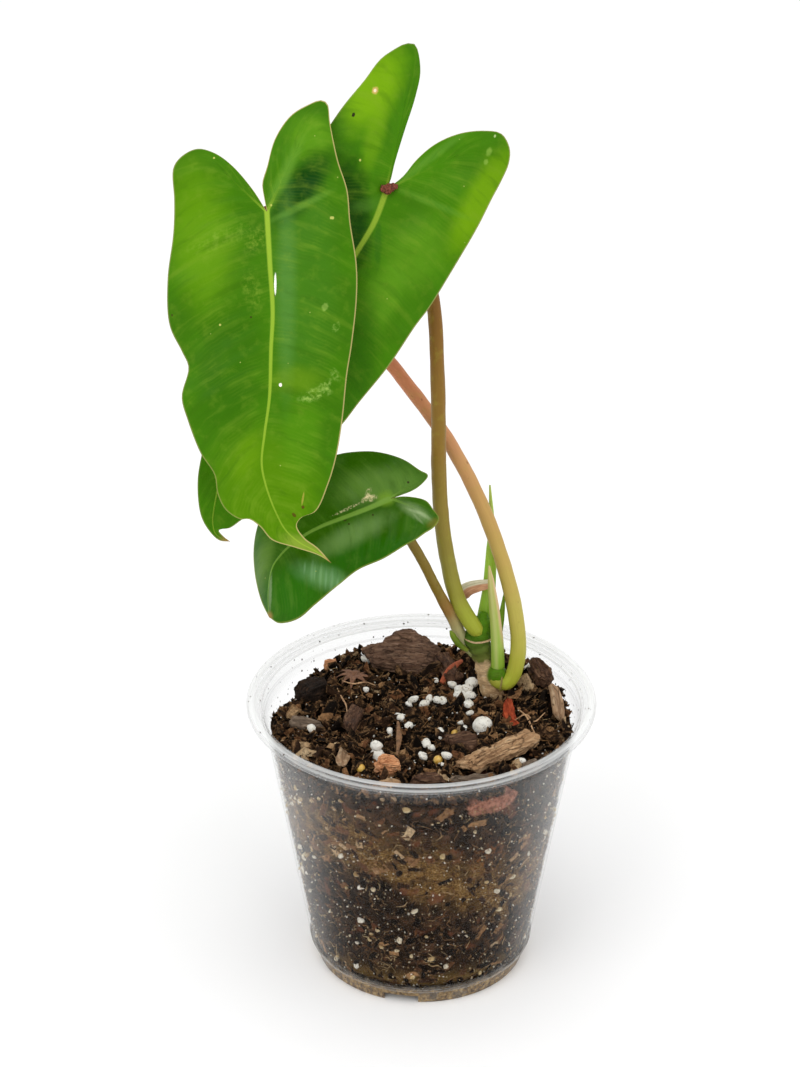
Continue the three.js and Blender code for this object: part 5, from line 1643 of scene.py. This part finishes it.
BACK_MARKS_AND_PAINTED_LIGHT = [
    ((116, 162, 8), 0.8, (-16.6, -27.8), (7, 14), 7, 1.1),
    ((112, 156, 14), 0.45, (-10.5, -14), (2.8, 11.3), -8, 1.2),
    # Painted shadow cast by the front blade on the left half
    ((18, 62, 0), 0.95, (-7.6, 12), (6, 17), -26, 0.9),
    ((84, 132, 40), 0.4, (-4.3, 7.7), (2, 4.7), 56, 1.3),
    ((66, 118, 12), 0.6, (15.6, -7.5), (3.4, 13), 41, 1.1),
    ((108, 152, 4), 0.8, (29.8, -9.5), (5.5, 18), 8, 1.1),
    ((88, 138, 22), 0.6, (16.5, 15.8), (8, 12), 7, 1.1),
    # Painted shade in the groove on the right of the midrib
    ((48, 102, 8), 0.75, (4.1, 17.2), (1.1, 8), -21, 0.9),
    ((92, 142, 44), 0.45, (8.7, -14.6), (1.1, 15), 30, 1.5),
    ((92, 142, 44), 0.35, (14.9, -1.6), (1, 11.6), 88, 1.5),
    ((94, 146, 26), 0.5, (11.9, 33.6), (5, 10), -3, 1.1),
    # Painted shade beside the front blade's edge, near the lower tip
    ((46, 100, 0), 0.8, (13.5, 53), (4.4, 17), -15, 1.0),
    ((204, 168, 96), 0.85, (-16, -27.2), (1, 1.2), 0, 0.7),
    ((238, 216, 190), 0.9, (-16, -27.2), (0.45, 0.55), 0, 0.6),
    ((34, 26, 16), 1.0, (-19.4, -17.1), (0.5, 0.7), 0, 0.3),
    (DOT, 0.8, (-11.8, -4.6), (0.35, 0.4), 0, 0.4),
    ((140, 176, 70), 0.5, (25.9, -24.8), (0.9, 1.3), 0, 0.8),
    ((140, 176, 70), 0.5, (26.3, -21.4), (0.7, 0.9), 0, 0.8),
    ((186, 206, 140), 0.7, (25.7, -30.3), (0.35, 0.5), 0, 0.5),
]
LOW_MARKS_AND_PAINTED_LIGHT = [
    ((92, 130, 50), 0.85, (-6, 3.3), (5.5, 15), 14, 1.2),
    ((50, 92, 12), 0.8, (-8.3, 24), (5.5, 11), -30, 1.2),
    ((34, 92, 0), 0.9, (15.5, 14), (5, 16), 8, 1.1),
    ((38, 100, 0), 0.9, (17, 42), (8, 9), 20, 1.2),
    ((46, 96, 4), 0.8, (11.5, -2), (3, 5), 20, 1.2),
    # Painted sheen: a grey-green band on the lower half
    ((106, 142, 72), 0.75, (7, 16), (3.4, 12), -6, 1.4),
    # Painted highlight and its streaks on the right lobe
    ((140, 164, 112), 0.55, (7.6, -5.6), (2, 5.2), 54, 1.3),
    ((184, 202, 154), 0.35, (9.8, -7.6), (0.6, 2.6), 56, 1.4),
    ((184, 202, 154), 0.3, (7.4, -5.2), (0.45, 2.2), 44, 1.4),
    ((184, 202, 154), 0.25, (10.6, -5.6), (0.4, 2), 70, 1.4),
    # Painted highlight on the lower half: a soft oval and its streaks
    ((108, 156, 98), 0.6, (16.4, 30.5), (3, 8.6), 40, 1.5),
    *[((146, 186, 138), 0.24, place, size, -63, 1.4) for place, size in PAINTED_SHINE],
    ((118, 156, 44), 0.7, (-0.4, 1.6), (2.4, 2.6), 0, 1.2),
    ((104, 138, 54), 0.5, (1.6, 46.6), (3, 7), -54, 1.3),
    # Painted highlight: a pale streak along the fold near the tip
    ((140, 160, 116), 0.5, (11.7, 48.6), (0.6, 4.7), -61, 0.9),
    ((124, 110, 34), 0.5, (13.8, -9.9), (1.4, 2.2), -10, 1.4),
    (CREAM, 0.95, (-2.4, 6.6), (1.1, 2.9), 4, 0.5, 2.4),
    (CREAM, 0.9, (-4.3, 6.4), (0.9, 1.9), -40, 0.5, 2.0),
    (CREAM, 0.7, (-1.9, 14.5), (0.5, 5), -4, 0.7, 0.7),
    (DARK, 0.9, (-3, -7.4), (0.4, 0.4), 0, 0.4),
    (DARK, 0.9, (3.4, 7.8), (0.35, 0.35), 0, 0.4),
    (DARK, 0.9, (3.3, 16.3), (0.35, 0.35), 0, 0.4),
    (DARK, 0.7, (1.6, 17), (0.3, 0.5), 0, 0.4),
]


def grow_blade(name, leaf, finishes, thickness):
    """A blade on a fine grid: ribs, puckers between its veins, and a rim that thins to the margin."""
    across, down, face = blade_frame(leaf)
    lobe, margin, rows = 26, 104, 30
    line = np.linspace(0, 1, rows + 1)
    t = 0.6 * line + 0.4 * (1 - np.cos(pi * line)) / 2
    found, points, notes, faces, corners, slots = {}, [], [], [], [], []

    def corner(p, marks):
        key = tuple(np.round(p, 4))
        if key not in found:
            found[key] = len(points)
            points.append(p)
            notes.append(marks)
        return found[key]

    for side in ("right", "left"):
        inner, outer, rest = leaf[side]
        edge = inner + outer + rest
        lobe_tip = len(inner) - 1
        shoulder, tip = lobe_tip + len(outer), len(edge) - 1
        rib = np.linspace((0, 0), np.array(inner[-1]) * RIB_REACH, lobe + 1)
        midrib = evenly(leaf["mid"], 0, len(leaf["mid"]) - 1, margin, TIP_CROWDING)
        spine = np.vstack([rib, rib[:-1][::-1], midrib[1:]])
        lobe_rim = evenly(edge, 0, lobe_tip, lobe), evenly(edge, lobe_tip, shoulder, lobe)[1:]
        rim = np.vstack([*lobe_rim, evenly(edge, shoulder, tip, margin, TIP_CROWDING)[1:]])
        middle_line = (spine + rim) / 2
        run = np.concatenate([[0], np.cumsum(norm(np.diff(middle_line, axis=0), axis=1))])
        run += 40 if side == "left" else 0
        spans = norm(rim - spine, axis=1)
        flat = spine[:, None] * (1 - t)[None, :, None] + rim[:, None] * t[None, :, None]
        a, l = flat[..., 0], flat[..., 1]
        from_rib, to_edge = spans[:, None] * t, spans[:, None] * (1 - t)
        u = np.clip(l / leaf["length"], 0, 1)
        width = np.where(l >= 0, 1 - 0.8 * u, 0.65) * leaf.get("rib_width", leaf["length"] / 115)
        inside = np.minimum(1, from_rib / 5) * np.minimum(1, to_edge / 4)
        swept = run[:, None] - VEINS["sweep"] * t**2
        pucker = 0.16 * np.sin(2 * pi * swept / VEINS["apart"]) * inside
        ripple = np.array([noise.noise(Vector((x / 11, y / 11, 3))) for x, y in flat.reshape(-1, 2).tolist()])
        pucker += 0.55 * ripple.reshape(a.shape) * inside
        crest = 0.32 * np.exp(-((from_rib / (0.8 * width)) ** 2)) * np.minimum(1, spans / 8)[:, None]
        height = blade_relief(leaf, a, l) + pucker + crest * np.where(l >= 0, 1, 0.5)
        front = np.array(leaf["at"]) + a[..., None] * across + l[..., None] * down + height[..., None] * face
        ridge = RIDGE * leaf["length"] / 120 * np.clip(1 - np.where(l >= 0, u, -l / 22), 0.08, 1)
        deep = thickness * (1 - 0.4 * np.clip(1 - to_edge / 2.5, 0, 1))
        deep += ridge * np.exp(-((from_rib / 1.5) ** 2)) * np.minimum(1, spans / 6)[:, None]
        back = front - deep[..., None] * face
        rib_tone = np.where(l >= 0, 0.95 - 0.3 * u, 0.95 * np.exp(np.minimum(l, 0) / 3))
        from_tip = norm(flat - np.array(edge[-1]), axis=2)
        at_tip = np.clip(1 - from_tip / (0.08 * leaf["length"]), 0, 1)
        ids = np.zeros((2, *a.shape), int)
        for i in range(a.shape[0]):
            for j in range(a.shape[1]):
                marks = (a[i, j], l[i, j], from_rib[i, j] / width[i, j], to_edge[i, j], rib_tone[i, j], at_tip[i, j])
                ids[0, i, j] = corner(front[i, j], marks)
                ids[1, i, j] = corner(back[i, j], marks)
        uv = [[(run[i] / 100, t[j]) for j in range(rows + 1)] for i in range(len(run))]

        def quad(loop, slot):
            picked = []
            for layer, i, j in loop:
                if not picked or ids[layer, i, j] not in [p[0] for p in picked]:
                    picked.append((ids[layer, i, j], uv[i][j]))
            if len(picked) < 3:
                return
            if side == "left":
                picked.reverse()
            faces.append([p[0] for p in picked])
            corners.extend(p[1] for p in picked)
            slots.append(slot)

        for i in range(a.shape[0] - 1):
            for j in range(rows):
                quad([(0, i, j), (0, i + 1, j), (0, i + 1, j + 1), (0, i, j + 1)], 0)
                quad([(1, i, j + 1), (1, i + 1, j + 1), (1, i + 1, j), (1, i, j)], 1)
            quad([(0, i, rows), (0, i + 1, rows), (1, i + 1, rows), (1, i, rows)], 1)
    blade = new_piece(name + "_blade", points, faces)
    marks = np.array(notes)
    note(blade, "flat", np.column_stack([marks[:, 0], marks[:, 1], np.zeros(len(marks))]))
    for i, title in enumerate(("rib", "edge", "rib_tone", "tip")):
        note(blade, title, marks[:, 2 + i])
    layer = blade.data.uv_layers.new(name="veins")
    layer.data.foreach_set("uv", np.array(corners).ravel())
    blade.data.polygons.foreach_set("material_index", slots)
    outward(blade)
    finish_piece(blade, finishes, [name])


class PLANT_OT_blades(Operator):
    """Grow the three heart-based blades with their ribs, veins and marks, and the shade, sheen and highlights painted
    on them
    """

    bl_idname = "plant.blades"
    bl_label = "Blades"

    def execute(self, context):
        s = context.scene.potted_plant.blade
        looks = {
            "leaf_front": (s.green, s.rib, s.margin, 0.85, 0.42, FRONT_MARKS_AND_PAINTED_LIGHT),
            "leaf_back": (lighter(s.green, 1.1), lighter(s.rib, 0.85), s.margin, 0.5, 0.42, BACK_MARKS_AND_PAINTED_LIGHT),
            "leaf_low": (s.deep, (116, 154, 58), (150, 156, 70), 0.5, 0.3, LOW_MARKS_AND_PAINTED_LIGHT),
        }
        under = underside_finish("blade_underside", s.under, s.rib, s.margin)
        for name, leaf in (("leaf_front", FRONT), ("leaf_back", BACK), ("leaf_low", LOW)):
            upper = blade_finish(name + "_upper", *looks[name])
            grow_blade(name, leaf, [upper, under], s.thickness / MM)
        return {"FINISHED"}


class PLANT_OT_stalks(Operator):
    """Draw the three leaf stalks along their bends"""

    bl_idname = "plant.stalks"
    bl_label = "Stalks"

    def execute(self, context):
        s = context.scene.potted_plant.stalk
        stops = {
            "petiole_back": [
                (0.0, lighter(s.base, 0.9)), (0.12, lighter(s.base, 0.78)), (0.3, (140, 132, 54)), (0.5, s.olive),
                (0.8, s.brown),
            ],
            "petiole_front": [
                (0.0, (146, 146, 54)), (0.12, (164, 174, 52)), (0.24, (170, 168, 60)),
                (0.32, (178, 166, 78)), (0.4, (182, 150, 82)), (0.5, (190, 138, 92)), (0.62, s.pink),
                (1.0, (150, 92, 56)),
            ],
            "petiole_low": [
                (0.0, (150, 160, 92)), (0.1, (188, 186, 138)), (0.2, (178, 168, 116)),
                (0.29, (142, 106, 54)), (0.42, (126, 104, 40)), (1.0, (118, 100, 38)),
            ],
        }
        leaves = {"petiole_back": BACK, "petiole_front": FRONT, "petiole_low": LOW}
        for name, (path, radii) in STALKS.items():
            face = blade_frame(leaves[name])[2]
            radius = through(radii)
            tip = np.array(path[-1]) - 1.1 * face
            piece = loft(
                name + "_stalk", path[:-1] + [tuple(tip)], lambda u: (radius(u)[0], radius(u)[0], 0), 240, 32
            )
            points = points_of(piece)
            move_points(piece, points + 0.12 * rough(points, 6, 2, len(name))[:, None] * (1, 1, 0))
            finish = stalk_finish(name + "_skin", stops[name], 0.9 if name == "petiole_back" else 0.5)
            finish_piece(piece, finish, [name])
        return {"FINISHED"}


def stem_body():
    """The stem and its side node grown into one."""
    radius = through(STEM_RADII)
    shaft = loft("stem_shaft", STEM_PATH, lambda u: (radius(u)[0], radius(u)[0], 0), 90, 36)
    middle, radii = SIDE_NODE
    stem = join([shaft, ball(middle, radii)], "stem_detailed")
    modify(stem, "REMESH", mode="VOXEL", voxel_size=0.28 * MM)
    points = points_of(stem)
    line = smooth_run(STEM_PATH, np.linspace(0, len(STEM_PATH) - 1, 200))
    nearest = np.array([np.argmin(((line - p) ** 2).sum(axis=1)) for p in points]) / 199
    away = norm((points - np.array(middle)) / radii, axis=1)
    rings = 0.16 * np.sin(nearest * 70) * np.clip((away - 1) * 3, 0, 1)
    swell(stem, rings + 0.28 * rough(points, 2.6, 3, 4))
    note(stem, "height", nearest)
    note(stem, "side_node", np.clip((1.25 - away) * 4, 0, 1))
    return stem


def collar(name, middle, up, radius, tube, seed, closed=1.0):
    """A thin papery ring round the stem, wavy."""
    up = Vector(up).normalized()
    side = up.orthogonal().normalized()
    other = up.cross(side)
    path = []
    for i in range(25):
        turn = 2 * pi * closed * i / 24
        wave = noise.noise(Vector((cos(turn), sin(turn), seed)))
        reach = radius * (1 + 0.06 * wave)
        p = Vector(middle) + side * reach * cos(turn) + other * reach * sin(turn) + up * 0.8 * wave
        path.append(tuple(p))
    return loft(name, path, lambda u: (tube[1], tube[0], 0), 120, 10, tuple(-up))


class PLANT_OT_stem(Operator):
    """Grow the short stem with its rings, and the papery scars round it"""

    bl_idname = "plant.stem"
    bl_label = "Stem"

    def execute(self, context):
        s = context.scene.potted_plant.stalk
        finish_piece(stem_body(), stem_finish(s), ["stem"])
        paper = paper_finish("papery_scar", s.paper, (150, 112, 80))
        ring = collar("scar_ring", (19.8, 17.3, 115.7), (0, -0.06, 1), 4.8, (0.3, 0.5), 2)
        hook = collar("scar_at_hook", (28, 13.7, 99.3), (1, -0.15, -0.1), 2.95, (0.3, 0.7), 6)
        finish_piece(ring, paper)
        finish_piece(hook, paper_finish("brown_scar", (146, 134, 70), (106, 84, 44)))
        return {"FINISHED"}


class PLANT_OT_sheaths(Operator):
    """Grow the sheaths, the bud and the dry scraps at the stem and in the back blade's notch"""

    bl_idname = "plant.sheaths"
    bl_label = "Sheaths and scraps"

    def execute(self, context):
        tones = {
            "sheath_back": ([(0, (126, 166, 44)), (0.5, (146, 186, 58)), (1, (160, 178, 84))], 0.0),
            "sheath_front": (
                [(0, (126, 168, 40)), (0.2, (152, 182, 76)), (0.6, (160, 170, 84)), (1, (186, 170, 108))],
                0.8,
            ),
            "sheath_sliver": ([(0, (96, 140, 22)), (1, (124, 160, 40))], 0.0),
            "bud_left": ([(0, (124, 136, 50)), (0.4, (82, 104, 20)), (1, (112, 132, 34))], 0.0),
        }
        for name, (path, stops, face) in SHEATHS.items():
            piece = loft(name + "_detailed", path, through(stops), 70, 32, face)
            if name == "sheath_curl":
                finish = membrane_finish()
            else:
                finish = sheath_finish(name + "_skin", tones[name][0], (212, 176, 140), tones[name][1])
            finish_piece(piece, finish, [name])
        self.scrap()
        return {"FINISHED"}

    def scrap(self):
        """The scrap of dry flower caught in the back blade's notch."""
        middle = np.array(BACK["at"]) + 1.2 * blade_frame(BACK)[2]
        lumps = (((0, 0, 0), (2.1, 1.8, 1.5)), ((1.8, 0.6, 0.4), (1.4, 1.2, 1.2)))
        scrap = join([ball(middle + shift, radii) for shift, radii in lumps], "notch_scrap")
        modify(scrap, "REMESH", mode="VOXEL", voxel_size=0.16 * MM)
        swell(scrap, 0.75 * rough(points_of(scrap), 1.0, 3, 9))
        finish_piece(scrap, paper_finish("dry_scrap", (126, 64, 44), (54, 27, 19)), ["leaf_debris"])


# Stage

CAMERA_AT = (-7.3, -891.0, 618.0)
CAMERA_DROP = 27.0
FOCAL_PIXELS, LONG_SIDE = 3003, 1067


class PLANT_OT_stage(Operator):
    """Set up the pale floor, the soft light and the camera"""

    bl_idname = "plant.stage"
    bl_label = "Stage"

    def execute(self, context):
        settings = context.scene.potted_plant.stage
        clear_selection()
        bpy.ops.mesh.primitive_plane_add(size=14, location=(0, 3, 0))
        floor = settle()
        floor.name = "floor"
        made = Finish("pale_floor", Roughness=0.9, Specular_IOR_Level=0.1)
        faint = made.noise(made.place(), 60, 2)
        shade = made.blend(faint, lighter(settings.floor, 0.995), settings.floor)
        floor.data.materials.append(made.set(Base_Color=shade))
        world = bpy.data.worlds.new("daylight")
        world.use_nodes = True
        sky = world.node_tree.nodes["Background"].inputs
        sky["Color"].default_value, sky["Strength"].default_value = (1, 1, 1, 1), settings.daylight
        context.scene.world = world
        for name, at, size, power in (
            ("key", (-0.75, -0.9, 1.3), 0.9, settings.lamp),
            ("fill", (0.9, -0.5, 0.9), 0.8, settings.lamp * 0.25),
            ("front", (0.05, -0.6, 1.35), 0.3, settings.lamp * 0.2),
        ):
            lamp = bpy.data.lights.new(name, "AREA")
            lamp.size, lamp.energy = size, power
            holder = bpy.data.objects.new(name, lamp)
            holder.location = at
            aim = Vector((0, 0, 0.17)) - Vector(at)
            holder.rotation_euler = aim.to_track_quat("-Z", "Y").to_euler()
            context.scene.collection.objects.link(holder)
        camera = bpy.data.cameras.new("camera")
        camera.lens = camera.sensor_width * FOCAL_PIXELS / LONG_SIDE
        camera.clip_end = 30
        holder = bpy.data.objects.new("camera", camera)
        holder.location = ((np.array(CAMERA_AT) + AXIS) * MM).tolist()
        holder.rotation_euler = (radians(90 - CAMERA_DROP), 0, 0)
        context.scene.collection.objects.link(holder)
        context.scene.camera = holder
        context.scene.view_settings.view_transform = "Standard"
        return {"FINISHED"}


class PLANT_PT_panel(Panel):
    """Buttons for each group of pieces"""

    bl_idname = "PLANT_PT_panel"
    bl_label = "Potted philodendron"
    bl_space_type = "VIEW_3D"
    bl_region_type = "UI"
    bl_category = "Plant"

    def draw(self, context):
        settings = context.scene.potted_plant
        for title, operators in (
            ("pot", ("plant.pot",)),
            ("mix", ("plant.mix", "plant.bark", "plant.minerals")),
            ("blade", ("plant.blades",)),
            ("stalk", ("plant.stalks", "plant.stem", "plant.sheaths")),
            ("stage", ("plant.stage",)),
        ):
            box = self.layout.box()
            for operator in operators:
                box.operator(operator)
            group = getattr(settings, title)
            for key in group.bl_rna.properties.keys():
                if key not in ("rna_type", "name"):
                    box.prop(group, key)


CLASSES = (
    PotSettings, MixSettings, BladeSettings, StalkSettings, StageSettings, PlantSettings, PLANT_OT_pot,
    PLANT_OT_mix, PLANT_OT_bark, PLANT_OT_minerals, PLANT_OT_stem, PLANT_OT_stalks, PLANT_OT_blades,
    PLANT_OT_sheaths, PLANT_OT_stage, PLANT_PT_panel,
)


def register():
    for made in CLASSES:
        bpy.utils.register_class(made)
    bpy.types.Scene.potted_plant = PointerProperty(type=PlantSettings)


def unregister():
    del bpy.types.Scene.potted_plant
    for made in reversed(CLASSES):
        bpy.utils.unregister_class(made)


def main():
    register()
    bpy.ops.plant.pot()
    bpy.ops.plant.mix()
    bpy.ops.plant.bark()
    bpy.ops.plant.minerals()
    bpy.ops.plant.stem()
    bpy.ops.plant.stalks()
    bpy.ops.plant.blades()
    bpy.ops.plant.sheaths()
    bpy.ops.plant.stage()
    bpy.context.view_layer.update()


if __name__ == "__main__":
    main()
